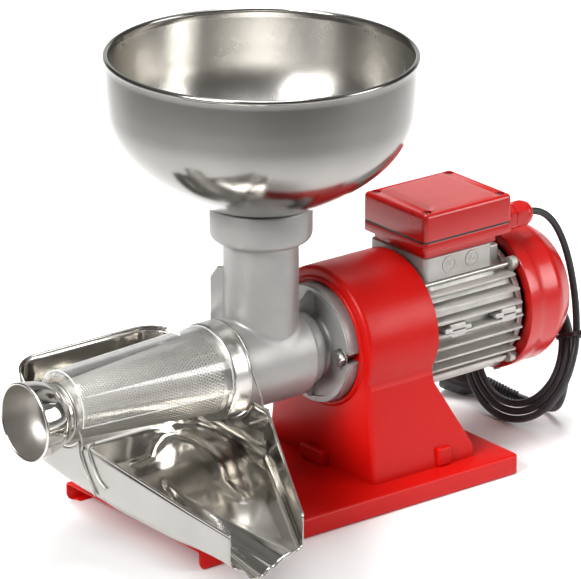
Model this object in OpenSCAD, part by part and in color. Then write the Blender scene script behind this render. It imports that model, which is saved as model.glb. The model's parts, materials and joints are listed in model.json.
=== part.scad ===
// Electric tomato press: worm-type strainer driven by a geared motor.
// The worm, gear and motor axes lie along X; the waste outlet points to -X.

/* [Machine] */
// Height of the worm and motor axis above the table
axis_z = 136.7; // [134:0.1:140]
// Half width of the sheet steel base
base_hw = 100.8; // [98:0.1:104]
// Height of the folded base
base_h = 19.2; // [16:0.1:20]
// Sheet thickness of the base
base_t = 2; // [1.5:0.5:3]

/* [Hopper] */
// Outside radius of the bowl at its rolled rim
bowl_r = 140; // [130:1:150]
// Height of the rim bead centre above the table
rim_z = 421.6; // [415:0.1:430]
// Wall thickness of the bowl
bowl_t = 1.2; // [1:0.1:2]
// Radius of the bowl spigot that sits in the collar
spigot_r = 40.6; // [40:0.1:40.8]

/* [Casting] */
// Outside radius of the collar that carries the bowl
collar_r = 46.3; // [45:0.1:48]
// Outside radius of the vertical neck
neck_r = 34; // [33:0.5:36]
// Outside radius of the worm barrel
barrel_r = 42.5; // [42:0.1:42.8]
// Bore radius of the worm barrel
barrel_bore = 37; // [36.8:0.1:38]
// Radius of the mounting flange
flange_r = 55; // [54:0.5:56]

/* [Strainer] */
// Large inside radius of the perforated cone
cone_r1 = 36.4; // [36.2:0.1:36.8]
// Small inside radius of the perforated cone
cone_r2 = 24.2; // [23.8:0.1:24.4]
// Radius of the waste outlet rim
bell_r = 36; // [33:0.5:38]

/* [Drive] */
// Gear module
gear_m = 1.5; // [1.5:0.5:1.5]
// Face width of the slow gear pair
slow_w = 14; // [10:1:14]
// Face width of the fast gear pair
fast_w = 10; // [8:1:10]
// Worm pitch
worm_pitch = 38; // [30:1:50]

/* [Motor] */
// Radius over the cooling fins
fin_r = 66.5; // [64:0.5:67]
// Radius of the fan cowl
cowl_r = 69.5; // [69:0.5:70]
// Spacing of the cooling fins
fin_step = 12.5; // [11:0.5:13]

/* [Cable] */
// Cable radius
cord_r = 3.4; // [3:0.1:3.5]

/* [Hidden] */
$fn = 64;
az = axis_z;
// The part's origin is under the middle of the object, without its cable
off = [-32.5, 51, 0];
lay_z = az - 45;

module place() { translate(off) children(); }
// Revolve [radius, x] points about an axis along X
module rx(pts, y = 0, z = az) { translate([0, y, z]) rotate([0, 90, 0]) rotate_extrude() polygon(pts); }
// Cylinder along X
module cx(x0, x1, r, y = 0, z = az, n = 48) { translate([x0, y, z]) rotate([0, 90, 0]) cylinder(h = x1 - x0, r = r, $fn = n); }
// Prism along X from a [y, z] outline
module px(x0, x1, pts) { translate([x0, 0, 0]) rotate([90, 0, 90]) linear_extrude(x1 - x0) polygon(pts); }
// Prism along Y from an [x, z] outline
module py(y0, y1, pts) { translate([0, y1, 0]) rotate([90, 0, 0]) linear_extrude(y1 - y0) polygon(pts); }
module box(a, b) { translate(a) cube(b - a); }
// Wedge about the machine axis, angles from +Z towards -Y
module sector(x0, x1, a0, a1) { translate([0, 0, az]) px(x0, x1, concat([[0, 0]], [for (i = [0 : 4]) let (a = a0 + (a1 - a0) * i / 4) 70 * [-sin(a), cos(a)]])); }
// Rounded rectangle standing in XY
module rbox(a, b, r) {
  translate([0, 0, a[2]]) linear_extrude(b[2] - a[2]) union() {
    translate([a[0] + r, a[1]]) square([b[0] - a[0] - 2 * r, b[1] - a[1]]);
    translate([a[0], a[1] + r]) square([b[0] - a[0], b[1] - a[1] - 2 * r]);
    for (x = [a[0] + r, b[0] - r], y = [a[1] + r, b[1] - r]) translate([x, y]) circle(r = r, $fn = 32);
  }
}

// Involute gear outline, tooth centred on +x
function inv(a) = tan(a) * 180 / PI - a;
function gear_pts(n, m, add, ded, bl) =
  let (rp = n * m / 2, rb = rp * cos(20), ra = rp + add * m, rf = rp - ded * m,
       h = 90 / n - bl / rp * 90 / PI, rs = max(rb + 0.02, rf + 0.05), k = 3)
  [for (t = [0 : n - 1]) let (c = t * 360 / n) each concat(
    [let (a = h + inv(20) - inv(acos(rb / rs))) rf * [cos(c - a), sin(c - a)]],
    [for (i = [0 : k]) let (r = rs + (ra - rs) * i / k, a = h + inv(20) - inv(acos(rb / r))) r * [cos(c - a), sin(c - a)]],
    [for (i = [k : -1 : 0]) let (r = rs + (ra - rs) * i / k, a = h + inv(20) - inv(acos(rb / r))) r * [cos(c + a), sin(c + a)]],
    [let (a = h + inv(20) - inv(acos(rb / rs))) rf * [cos(c + a), sin(c + a)]])];
module gear(x0, w, n, z, bore, add = 0.75, phase = 0) {
  translate([x0, 0, z]) rotate([0, 90, 0]) difference() {
    linear_extrude(w) rotate(phase) polygon(gear_pts(n, gear_m, add, 1.2, 0.25));
    translate([0, 0, -1]) cylinder(h = w + 2, r = bore, $fn = 48);
  }
}
// Ball bearing: two races and balls, kept as separate solids in one group
module bearing(x0, w, ri, ro, z = az, n = 9) {
  rm = (ri + ro) / 2; t = ro - ri;
  difference() { cx(x0, x0 + w, ro, 0, z); cx(x0 - 1, x0 + w + 1, ro - t * 0.25, 0, z); }
  difference() { cx(x0, x0 + w, ri + t * 0.25, 0, z); cx(x0 - 1, x0 + w + 1, ri, 0, z); }
  for (i = [0 : n - 1]) translate([x0 + w / 2, 0, z]) rotate([i * 360 / n, 0, 0]) translate([0, 0, rm]) sphere(r = t * 0.245, $fn = 24);
}
// Sweep a round section along points
function unit(v) = v / norm(v);
function tang(p, i) = unit(p[min(i + 1, len(p) - 1)] - p[max(i - 1, 0)]);
function frames(p, i = 0, u = undef) =
  let (t = tang(p, i), g = is_undef(u) ? (abs(t[2]) < 0.9 ? [0, 0, 1] : [1, 0, 0]) : u, v = unit(g - (g * t) * t))
  i == len(p) - 1 ? [[v, cross(t, v)]] : concat([[v, cross(t, v)]], frames(p, i + 1, v));
module sweep(p, r, n = 8) {
  f = frames(p); m = len(p);
  polyhedron(
    points = [for (i = [0 : m - 1], k = [0 : n - 1]) p[i] + r * (cos(360 * k / n) * f[i][0] + sin(360 * k / n) * f[i][1])],
    faces = concat([[for (k = [n - 1 : -1 : 0]) k]], [[for (k = [0 : n - 1]) (m - 1) * n + k]],
      [for (i = [0 : m - 2], k = [0 : n - 1]) [i * n + k, i * n + (k + 1) % n, (i + 1) * n + (k + 1) % n, (i + 1) * n + k]]),
    convexity = 6);
}
// Catmull-Rom points through a short list
function cr(a, b, c, d, t) = 0.5 * (2 * b + (c - a) * t + (2 * a - 5 * b + 4 * c - d) * t * t + (3 * b - a - 3 * c + d) * t * t * t);
function smooth(p, k) = concat([for (i = [0 : len(p) - 2], j = [0 : k - 1])
  cr(p[max(i - 1, 0)], p[i], p[i + 1], p[min(i + 2, len(p) - 1)], j / k)], [p[len(p) - 1]]);

// ---------------------------------------------------------------- base
module base_plate() color("firebrick") place() difference() {
  rbox([-145.4, -base_hw, 0], [224.4, base_hw, base_h], 6);
  box([-146, -base_hw + base_t, base_t], [224.4 - base_t, base_hw - base_t, base_h - base_t]);
  box([-146, -base_hw + 9, -1], [224.4 - 9, base_hw - 9, base_t + 1]);
  box([-146, -base_hw + base_t, -1], [-137, base_hw - base_t, base_h - base_t]);
  for (q = screw_at) translate([q[0], q[1], base_h - base_t - 1]) cylinder(h = base_t + 2, r = 3.3, $fn = 32);
}
screw_at = [[67, 3], [151.5, -73], [151.5, 73], [180, 0]];
// Screws up through the base into the lugs of the gear housing
module housing_screws() color("silver") place() for (q = screw_at) translate([q[0], q[1], 0]) {
  translate([0, 0, base_h - base_t - 4]) cylinder(h = 4, r = 5.77, $fn = 6);
  translate([0, 0, base_h - base_t]) cylinder(h = 12, r = 2.9, $fn = 32);
}

// ---------------------------------------------------------------- gear housing
function arch(r, w, w0, zb) = concat(
  [[-w0, zb]], [[-w, az - 29]],
  [for (a = [204 : -6 : -24]) [r * cos(a), az + r * sin(a)]],
  [[w, az - 29]], [[w0, zb]]);
side_out = [[70, base_h], [188, base_h], [187.5, 31], [147.5, 98], [146, 108], [151, az], [151, 215], [70, 215]];
module gear_housing() color("firebrick") place() {
  difference() {
    union() {
      difference() {
        intersection() { px(70, 190, arch(70, 67, 78, base_h)); py(-90, 90, side_out); }
        difference() {
          intersection() {
            px(80, 190, arch(66, 63, 73.5, base_h - 1));
            py(-90, 90, [[80, base_h - 1], [184, base_h - 1], [184, 30], [144, 97], [142.5, 108], [152, az], [152, 215], [80, 215]]);
          }
        }
      }
      // raised lip around the flange
      difference() { cx(67.5, 70.5, 61, 0, az, 96); cx(60, 72, 56.5, 0, az, 96); }
      // bearing hubs
      cx(79, 93, 27); cx(79, 90, 17.4, 0, lay_z);
      // inner seat of the motor front shield
      intersection() { difference() { cx(126, 130, 67, 0, az, 96); cx(120, 135, 56, 0, az, 96); } box([120, -80, az - 18], [140, 80, 220]); }
      // cradle under the motor
      intersection() { difference() { cx(130, 166, 71, 0, az, 96); cx(125, 170, 68, 0, az, 96); } box([130, -80, 60], [166, 80, az - 20]);
        px(100, 190, arch(68, 66, 76, base_h)); py(-90, 90, side_out); }
      // lugs for the base screws
      box([60.5, -12.5, base_h], [70.5, 18.5, 33]);
      for (s = [-1, 1]) box([144, s > 0 ? 66 : -81, base_h], [159, s > 0 ? 81 : -66, 37]);
      box([172, -8, base_h], [186, 8, 33]);
    }
    cx(69, 75.9, 40.2, 0, az, 96);
    cx(152, 200, 68, 0, az, 96); cx(130, 154, 66, 0, az, 96);
    cx(60, 81, 12.5);
    cx(79.5, 95, 21); cx(80.5, 95, 14, 0, lay_z);
    for (s = [-1, 1]) cx(60, 81, 3.4, s * 44, az, 32);
    for (a = [0, 60, -60]) cx(120, 135, 3.2, 61 * sin(a), az + 61 * cos(a), 32);
    for (p = post_at) cx(74, 84, 2.5, p[0], az + p[1], 24);
    for (q = screw_at) translate([q[0], q[1], base_h - 1]) cylinder(h = 12, r = 3, $fn = 32);
  }
}

// ---------------------------------------------------------------- cast body
module body_casting() color("gainsboro") place() {
  difference() {
    union() {
      cx(-58, 35, barrel_r, 0, az, 96);
      cx(34, 48, 36, 0, az, 96); cx(47, 60, 28); cx(58.5, 70, flange_r, 0, az, 96);
      difference() { cx(56.5, 59, flange_r - 0.8, 0, az, 96); cx(56, 60, 49, 0, az, 96); }
      cx(66, 75.5, 40, 0, az, 96);
      translate([0, 0, az]) cylinder(h = 120, r = neck_r, $fn = 96);
      translate([0, 0, 252]) rotate_extrude($fn = 96) polygon([[20, 0], [40, 0], [42.6, 0.7], [44.7, 2.2], [45.9, 4.3], [collar_r, 7], [collar_r, 31.5], [45.3, 32.5], [20, 32.5]]);
      py(-3.5, 3.5, [[30, az + 30], [60, az + 30], [60, 188], [30, 188]]);
      py(-3.5, 3.5, [[30, az - 30], [60, az - 30], [60, 86], [57, 86], [30, 95]]);
      // cast rib at the back of the neck
      translate([0, 0, az + 20]) rotate(135) translate([28, -4, 0]) cube([17.3, 8, 65]);
    }
    // bayonet grooves for the strainer's two pins
    for (a = [40, 220]) {
      intersection() { difference() { cx(-52.6, -47.4, 46, 0, az, 96); cx(-60, -40, 40.9, 0, az, 96); } sector(-60, -40, a - 4, a + 26); }
      translate([0, 0, az]) rotate([a + 22, 0, 0]) box([-60, -2.6, 40.9], [-47.4, 2.6, 46]);
    }
    cx(-60, 28, barrel_bore, 0, az, 96);
    cx(27, 36.5, 17.6); cx(20, 80, 12.4);
    translate([0, 0, az + 5]) cylinder(h = 130, r = 27.5, $fn = 96);
    translate([0, 0, 186]) cylinder(h = 90, r = 29, $fn = 96);
    translate([0, 0, 262]) cylinder(h = 40, r = spigot_r + 0.3, $fn = 96);
    for (s = [-1, 1]) { cx(50, 72, 4.5, s * 44, az, 32); cx(50, 58.5, 8.8, s * 44, az, 48); box([50, s > 0 ? 44 : -60, az - 4.5], [72, s > 0 ? 60 : -44, az + 4.5]); }
  }
}
module flange_bolts() color("silver") place() for (s = [-1, 1]) {
  cx(50.6, 56, 7.5, s * 44, az, 6); cx(56, 86, 3.3, s * 44, az, 32);
}
module flange_washers() color("lightgray") place() for (s = [-1, 1]) difference() { cx(56.9, 58.5, 8, s * 44, az, 48); cx(56, 60, 4.2, s * 44, az, 32); }
module shaft_seal() color("dimgray") place() difference() { cx(29, 36, 17.4); cx(28, 37, 10.2); }

// ---------------------------------------------------------------- gearbox
module output_bearing() color("silver") place() bearing(80.5, 12, 10, 20.9, az, 9);
post_at = [[44, 18], [-44, 18], [0, 47]];
module gear_plate_posts() color("silver") place() for (p = post_at) difference() { cx(80, 111, 5, p[0], az + p[1], 32); cx(100, 112, 2.6, p[0], az + p[1], 24); }
module gear_plate() color("lightslategray") place() difference() {
  union() { cx(111, 114, 52, 0, az, 96); cx(111, 114, 22, 0, lay_z); }
  cx(110, 115, 8.5); cx(110, 115, 9.5, 0, lay_z);
  for (p = post_at) cx(110, 115, 3.2, p[0], az + p[1], 24);
}
module gear_plate_screws() color("silver") place() for (p = post_at) { cx(114, 116.6, 5, p[0], az + p[1], 6); cx(103, 114, 2.4, p[0], az + p[1], 24); }
module gear_plate_bush() color("darkgoldenrod") place() difference() { cx(110.5, 114.5, 8.4); cx(110, 115, 6.1); }
module layshaft_bearings() color("silver") place() { bearing(81, 8, 6, 13.9, lay_z, 7); bearing(131, 8, 6, 13.9, lay_z, 7); }
module layshaft() color("lightsteelblue") place() cx(81, 139, 5.95, 0, lay_z);
module layshaft_gear() color("slategray") place() difference() { gear(117, fast_w, 48, lay_z, 6, 0.75, 3.75);
  for (a = [0 : 60 : 300]) translate([116, 0, lay_z]) rotate([a, 0, 0]) translate([0, 0, 22]) rotate([0, 90, 0]) cylinder(h = 12, r = 6, $fn = 32); }
module layshaft_pinion() color("slategray") place() gear(93, slow_w + 2, 15, lay_z, 6, 0.9);
module output_gear() color("slategray") place() difference() { gear(94, slow_w, 45, az, 10, 0.75);
  for (a = [30 : 60 : 330]) translate([93, 0, az]) rotate([a, 0, 0]) translate([0, 0, 22]) rotate([0, 90, 0]) cylinder(h = 16, r = 5.5, $fn = 32); }
module output_shaft() color("lightsteelblue") place() { cx(12, 30.5, 7.9, 0, az, 6); cx(30, 109, 9.95); cx(108, 114, 6); }
module motor_pinion() color("slategray") place() gear(116, fast_w + 2, 12, az, 4.5, 0.9);
module motor_shaft() color("lightsteelblue") place() { cx(116, 130, 4.45); cx(130, 250, 8.45); cx(250, 264, 7.45); cx(264, 294, 6.95); }

// ---------------------------------------------------------------- motor
module motor_front_shield() color("lightgray") place() difference() {
  union() {
    cx(130.5, 148, 26); cx(138, 144, 64, 0, az, 96);
    difference() { cx(130, 152, 65.6, 0, az, 96); cx(129, 153, 58, 0, az, 96); }
    cx(130.5, 144, 17.4, 0, lay_z);
  }
  cx(129, 134, 10); cx(134, 160, 20); cx(129, 139.2, 14, 0, lay_z);
  for (a = [0, 60, -60]) cx(125, 145, 2.6, 61 * sin(a), az + 61 * cos(a), 24);
  for (a = rod_at) cx(125, 160, 2.7, rod_rr * sin(a), az + rod_rr * cos(a), 24);
}
module motor_mount_screws() color("silver") place() for (a = [0, 60, -60]) { cx(121.5, 126, 5, 61 * sin(a), az + 61 * cos(a), 6); cx(126, 144, 2.5, 61 * sin(a), az + 61 * cos(a), 24); }
module motor_front_bearing() color("silver") place() bearing(135, 12, 8.5, 19.9, az, 8);
rod_at = [43, -43, 137, -137];
rod_rr = 62.5;
module motor_tie_rods() color("silver") place() for (a = rod_at) { cx(145, 263, 2.5, rod_rr * sin(a), az + rod_rr * cos(a), 24); cx(263, 267, 4.6, rod_rr * sin(a), az + rod_rr * cos(a), 6); }
module stator_housing() color("silver") place() difference() {
  union() {
    cx(152.2, 256, 54.5, 0, az, 96);
    // horizontal cooling fins
    intersection() {
      cx(153, 256, fin_r, 0, az, 96);
      union() {
        for (k = [-3 : 3], s = [-1, 1]) translate([153, s > 0 ? 20 : -70, az + k * fin_step - 1.3]) cube([103, 50, 2.6]);
        for (k = [-1 : 1]) translate([172, k * 13 - 1.3, az - 70]) cube([84, 2.6, 30]);
      }
    }
    // foot pads and screw bosses
    for (s = [-1, 1]) { box([153, s > 0 ? 34 : -47, az - 48], [247, s > 0 ? 47 : -34, az - 43]);
      for (x = [160, 222]) box([x, s > 0 ? 50 : -66, az - 8], [x + 24, s > 0 ? 66 : -50, az + 8]); }
    box([158, -40, az + 40], [239, 40, 206]);
  }
  cx(150, 260, 50, 0, az, 96);
  box([180, -18, az + 40], [215, 18, 210]);
  for (a = rod_at) cx(150, 260, 3, rod_rr * sin(a), az + rod_rr * cos(a), 24);
}
module stator_core() color("dimgray") place() difference() { cx(170, 236, 49.9, 0, az, 96); cx(169, 240, 31.5, 0, az, 96); }
module stator_winding() color("peru") place() for (x = [[157, 169.8], [236.2, 249]]) difference() { cx(x[0], x[1], 46, 0, az, 64); cx(x[0] - 1, x[1] + 1, 34, 0, az, 64); }
module rotor_core() color("gray") place() difference() { cx(171, 235, 30.8, 0, az, 64); cx(170, 240, 8.5); }
module motor_rear_shield() color("lightgray") place() difference() {
  union() { cx(256.2, 262, 57, 0, az, 96); cx(250, 264, 23); for (a = rod_at) cx(256.2, 263, 6.2, rod_rr * sin(a), az + rod_rr * cos(a), 32);
    for (a = rod_at) translate([256.2, 0, az]) rotate([-a, 0, 0]) translate([0, -6.2, 45]) cube([6.8, 12.4, 17.5]);
    for (a = cowl_at) translate([0, 0, az]) rotate([-a, 0, 0]) box([256.2, -7, 48], [269.4, 7, cowl_r - 3]); }
  cx(249, 262, 17.6); cx(249, 270, 9);
  for (a = rod_at) cx(250, 270, 2.7, rod_rr * sin(a), az + rod_rr * cos(a), 24);
  for (a = cowl_at) translate([0, 0, az]) rotate([-a, 0, 0]) translate([266.4, 0, 58]) cylinder(h = 15, r = 2.1, $fn = 20);
}
cowl_at = [75, 165, -165];
module motor_rear_bearing() color("silver") place() bearing(250.5, 11, 7.5, 17.5, az, 8);
module cooling_fan() color("black") place() {
  difference() { union() { cx(270, 292, 13); cx(270, 273, 54, 0, az, 64); } cx(260, 300, 7); }
  for (i = [0 : 7]) translate([0, 0, az]) rotate([i * 45, 0, 0]) box([273, -1, 15], [290, 1, 54]);
}
module fan_cowl() color("firebrick") place() difference() {
  rx([[cowl_r - 2, 263.6], [cowl_r, 263.6], [cowl_r, 272], [cowl_r - 0.9, 273], [cowl_r - 0.9, 299], [56, 321.5], [53, 324.8], [49, 326], [0, 326],
      [0, 324], [48.4, 324], [51.6, 323], [54.2, 320.4], [66.5, 298.2], [66.5, 272.5], [cowl_r - 2, 271.5]]);
  for (r = [14, 24, 34, 44]) for (i = [0 : r / 2 - 1]) translate([0, 0, az]) rotate([i * 720 / r, 0, 0]) translate([320, 0, r]) rotate([0, 90, 0]) cylinder(h = 8, r = 2.4, $fn = 16);
  for (a = cowl_at) translate([0, 0, az]) rotate([-a, 0, 0]) translate([266.4, 0, 60]) cylinder(h = 15, r = 2.2, $fn = 20);
}
module cowl_screws() color("silver") place() for (a = cowl_at) translate([0, 0, az]) rotate([-a, 0, 0]) translate([266.4, 0, 0]) {
  translate([0, 0, cowl_r]) cylinder(h = 1.6, r = 3.6, $fn = 32); translate([0, 0, 60]) cylinder(h = cowl_r - 60, r = 2, $fn = 20); }

// ---------------------------------------------------------------- terminal box
bx0 = 153.1; bx1 = 258; by = 44.9;
module terminal_box_base() color("firebrick") place() difference() {
  union() { difference() { rbox([bx0, -by, 213], [bx1, by, 222.8], 5); rbox([bx0 + 2.5, -by + 2.5, 215], [bx1 - 2.5, by - 2.5, 223], 3); }
    for (x = [162, 249], y = [-36.5, 36.5]) translate([x, y, 214]) cylinder(h = 8.8, r = 4.4, $fn = 32); rbox([bx0 + 7, -by + 7, 206], [bx1 - 12, by - 7, 213.5], 4);
    box([bx1 - 3, -43, 214], [bx1, -19, 236]); }
  for (x = [162, 249], y = [-36.5, 36.5]) translate([x, y, 215]) cylinder(h = 10, r = 2.1, $fn = 24);
  rbox([bx0 + 14, -by + 14, 208], [bx1 - 19, by - 14, 216], 3);
  box([182, -16, 200], [213, 16, 210]);
  cx(254, 262, 8.5, -31, 223);
}
module terminal_box_gasket() color([0.12, 0.12, 0.12]) place() difference() {
  rbox([bx0 + 0.4, -by + 0.4, 222.8], [bx1 - 0.4, by - 0.4, 224.8], 4.6);
  rbox([bx0 + 3, -by + 3, 222], [bx1 - 3.2, by - 3, 226], 3);
  box([bx1 - 3.2, -43.2, 222], [bx1 + 1, -18.8, 226]);
}
module terminal_box_lid() color("firebrick") place() difference() {
  union() {
    rbox([bx0, -by, 224.8], [bx1, by, 249], 5);
    rbox([bx0 + 0.8, -by + 0.8, 248.9], [bx1 - 0.8, by - 0.8, 250.6], 5);
    box([172, -29, 250.5], [242, 29, 252.6]);
  }
  rbox([bx0 + 2.5, -by + 2.5, 224], [bx1 - 2.5, by - 2.5, 248], 3);
  box([bx1 - 3.3, -43.3, 224], [bx1 + 1, -18.7, 236.3]);
  for (x = [162, 249], y = [-36.5, 36.5]) { translate([x, y, 247]) cylinder(h = 5, r = 4.6, $fn = 32); translate([x, y, 240]) cylinder(h = 12, r = 2.2, $fn = 24); }
  box([191.5, 40, 228], [218.5, 50, 247]);
}
module lid_screws() color("silver") place() for (x = [162, 249], y = [-36.5, 36.5]) translate([x, y, 0]) {
  translate([0, 0, 247]) cylinder(h = 2.4, r = 3.6, $fn = 32); translate([0, 0, 216]) cylinder(h = 31.5, r = 2, $fn = 24); }
module capacitor() color("lightgray") place() translate([0, 0, 0]) { cx(170, 228, 14, -20, 230); cx(228, 234, 3, -26, 230, 24); cx(228, 234, 3, -14, 230, 24); }
module terminal_block() color("ivory") place() difference() { box([172, 6, 208], [208, 26, 222]);
  for (x = [178, 190, 202], y = [11, 21]) translate([x, y, 214]) cylinder(h = 10, r = 2.4, $fn = 24); }
module switch_frame() color([0.1, 0.1, 0.1]) place() difference() {
  union() { box([190, 44.9, 226.5], [220, 46.7, 248.5]); box([192, 26, 228.5], [218, 45, 246.5]); }
  box([194, 34, 230], [216, 50, 245]);
}
module rocker_button() color("firebrick") place() translate([0, 41, 237.5]) rotate([-6, 0, 0]) translate([0, -41, -237.5]) difference() {
  union() { py(39, 47.5, [[195, 231.2], [215, 231.2], [215, 243.8], [195, 243.8]]); translate([194.4, 41, 237.5]) rotate([0, 90, 0]) cylinder(h = 21.2, r = 1.4, $fn = 24); }
  translate([190, 63, 237.5]) rotate([0, 90, 0]) cylinder(h = 30, r = 16.6, $fn = 96);
}
module cable_gland() color("firebrick") place() difference() {
  union() { cx(258, 266, 13.8, -31, 223, 6); cx(255, 258.5, 8.4, -31, 223); }
  cx(240, 270, 3.7, -31, 223, 32);
}
module gland_nut() color("firebrick") place() difference() {
  union() { cx(266, 280, 13.6, -31, 223, 6); rx([[0, 280], [12, 280], [11.8, 283], [10.2, 286.4], [7, 288.6], [0, 289]], -31, 223); }
  cx(264, 290, 3.7, -31, 223, 32);
}

// ---------------------------------------------------------------- cable
// Route of the cable from the gland down to the coil, and from the coil to the plug
route = [[262, -31, 223], [275, -31, 223], [289, -31, 222.9], [299, -31.2, 221.4], [309, -31.8, 216.6], [318, -33, 208], [325, -35, 196], [330.5, -37.5, 181], [334, -40.5, 164], [336, -44, 145],
  [336, -48, 126], [334.4, -52, 108], [331.6, -55, 94], [328.6, -57.2, 84]];
coil_c = [318.5, 9.7, 69.6];
tail = [[333.5, 46.7, 8.2], [336.9, 40.8, 6.75], [340.3, 35, 5.3], [343.2, 27, 4.3], [342.5, 18, 4], [338, 9.5, 4], [331, 1.5, 4], [323.5, -5, 4.6], [316, -11, 7.5], [309.5, -17, 13]];
module power_cord() color([0.12, 0.12, 0.12]) place() sweep(smooth(route, 3), cord_r, 8);
// Outer shape of the three turns of cable, standing on the table and leaning out from the cowl
module coil_at() { translate(coil_c) rotate([0, 0, 3]) rotate([0, 18, 0]) rotate([0, 90, 0]) children(); }
module cord_coil() color([0.12, 0.12, 0.12]) place() coil_at() rotate_extrude($fn = 96) polygon([[51.1, -3.4], [53.5, -4.2], [70, -4.2], [72.9, 0], [70.5, 4.5], [64, 9.6], [55, 9.6], [51.1, 3.6]]);
module cord_tail() color([0.12, 0.12, 0.12]) place() sweep(smooth(tail, 3), cord_r, 8);
module cable_tie() color([0.1, 0.1, 0.1]) place() coil_at() rotate([0, 0, -115]) translate([63.2, 0, 2.6]) rotate([90, 0, 0]) translate([0, 0, -2]) difference() {
  union() { linear_extrude(4) square([29, 17], center = true); translate([13.5, -3.5, -0.5]) cube([4.5, 7, 5]); }
  translate([0, 0, -1]) linear_extrude(6) square([26, 14.2], center = true);
}
module plug_at() { translate([312, 84, 17.4]) rotate([0, 0, 120]) rotate([0, -12, 0]) rotate([0, 90, 0]) children(); }
module plug_body() color([0.1, 0.1, 0.1]) place() plug_at() rotate_extrude($fn = 64) polygon([[0, -19], [9.5, -19], [12, -15], [15.5, -8], [17, -3], [17, 16.5], [16, 18], [0, 18]]);
module plug_pins() color("silver") place() plug_at() for (s = [-9.5, 9.5]) rotate(20) translate([0, s, 18]) { cylinder(h = 17.5, r = 2.4, $fn = 24); translate([0, 0, 17.5]) sphere(r = 2.38, $fn = 24); }
module plug_boot() color([0.1, 0.1, 0.1]) place() plug_at() difference() {
  rotate_extrude($fn = 48) polygon([[0, -57], [5, -57], [5.4, -50], [6.5, -42], [7.8, -32], [8.6, -24], [8.8, -19], [0, -19]]);
  translate([0, 0, -58]) cylinder(h = 16, r = 3.45, $fn = 32);
}

// ---------------------------------------------------------------- worm
function worm_r(x) = x > -62 ? 35.8 : cone_r1 - 0.9 - (-62.2 - x) / 160.4 * (cone_r1 - cone_r2);
module flight(x0, x1, thick) {
  n = floor((x1 - x0) / worm_pitch * 20);
  pts = [for (i = [0 : n]) let (x = x0 + (x1 - x0) * i / n, a = 360 * (x - x0) / worm_pitch, r = worm_r(x))
    each [for (q = [[7, -thick / 2], [r, -thick / 3], [r, thick / 3], [7, thick / 2]]) [x + q[1], q[0] * cos(a), q[0] * sin(a)]]];
  translate([0, 0, az]) polyhedron(points = pts, faces = concat([[3, 2, 1, 0]], [[4 * n, 4 * n + 1, 4 * n + 2, 4 * n + 3]],
    [for (i = [0 : n - 1], k = [0 : 3]) each [[4 * i + k, 4 * i + (k + 1) % 4, 4 * i + 4 + k], [4 * i + (k + 1) % 4, 4 * i + 4 + (k + 1) % 4, 4 * i + 4 + k]]]), convexity = 10);
}
module worm() color("whitesmoke") place() difference() {
  union() { rx([[0, 26], [13, 26], [13, 8], [10, 2], [9, -60], [8, -206], [5, -210.5], [0, -210.5]]); flight(-209, 6, 5); }
  cx(10, 40, 8.05, 0, az, 6);
}

// ---------------------------------------------------------------- hopper
bowl_pts = [[138.2, rim_z], [137.7, 400], [137, 384], [135.4, 366], [131, 351.5], [123.6, 338.6], [113.6, 327], [101.4, 316.4], [88, 307], [73.6, 298.4], [59, 291], [47, 286.2]];
module hopper_bowl() color("lightgray") place() {
  rotate_extrude($fn = 120) polygon(concat(bowl_pts, [[spigot_r, 285.2], [spigot_r, 262.3], [spigot_r - bowl_t, 262.3], [spigot_r - bowl_t, 286.6]],
    [for (i = [len(bowl_pts) - 1 : -1 : 0]) [bowl_pts[i][0] - bowl_t, bowl_pts[i][1] + (i > 0 ? (i > 3 ? bowl_t * 0.9 : 0.4) : 0)]]));
  translate([0, 0, rim_z]) rotate_extrude($fn = 120) translate([bowl_r - 2.4, 0]) circle(r = 2.4, $fn = 24);
}

// ---------------------------------------------------------------- strainer
module strainer_ring() color("silver") place() {
  rx([[37.6, -63.5], [43.6, -63.5], [44.6, -63.1], [44.9, -62.2], [44.9, -44.8], [43.2, -44.8], [43.2, -61.6], [42.5, -62.2], [37.6, -62.2]]);
  // two bayonet pins that run in the grooves of the barrel
  for (a = [40, 220]) translate([-50, 0, az]) rotate([a, 0, 0]) translate([0, 0, 41.2]) cylinder(h = 4.3, r = 2, $fn = 24);
}
module strainer_cone() color("silver") place() rx([[cone_r1, -61.2], [41.5, -61.2], [41.5, -62.2], [cone_r1 + 1.1, -62.2], [cone_r2 + 1, -222.6], [26.5, -223.6], [26.5, -225.2], [cone_r2 + 0.2, -225.2], [cone_r2, -222.6]]);
module waste_bell() color("silver") place() rx([[23, -212], [24, -212], [24, -225.2], [25.8, -225.2], [25.6, -227.5], [26.4, -229.5], [29.3, -232.8], [31.6, -237], [33.2, -242], [34.3, -248], [35, -255], [35.2, -258.6],
  [bell_r, -259.2], [bell_r, -260.6], [35.6, -261], [34.4, -261], [34, -258.6], [33.8, -255], [33.1, -248], [32, -242.4], [30.5, -237.8], [28.4, -234], [25, -230.5], [23, -228]]);
// Clear cover: upper half of a tilted cone, with an arched wall at each end
module guard_cone(e) { translate([0, 0, 134.8]) rotate([0, 1.96, 0]) rotate([0, 90, 0]) rotate_extrude($fn = 96) polygon([[0, -40], [45.2 - e, -40], [32.2 - e, -226], [0, -226]]); }
module splash_guard() color([0.85, 0.9, 0.92, 0.45]) place() difference() {
  intersection() { guard_cone(0); box([-219.6, -80, 131], [-64, 80, 240]); }
  intersection() { guard_cone(1.8); box([-217.8, -80, 100], [-65.8, 80, 240]); }
  cx(-70, -60, 37.6, 0, az, 96); box([-70, -37.6, 100], [-60, 37.6, az]);
  cx(-225, -210, 27, 0, 142.4, 64); box([-225, -27, 100], [-210, 27, 142.4]);
}

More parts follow.
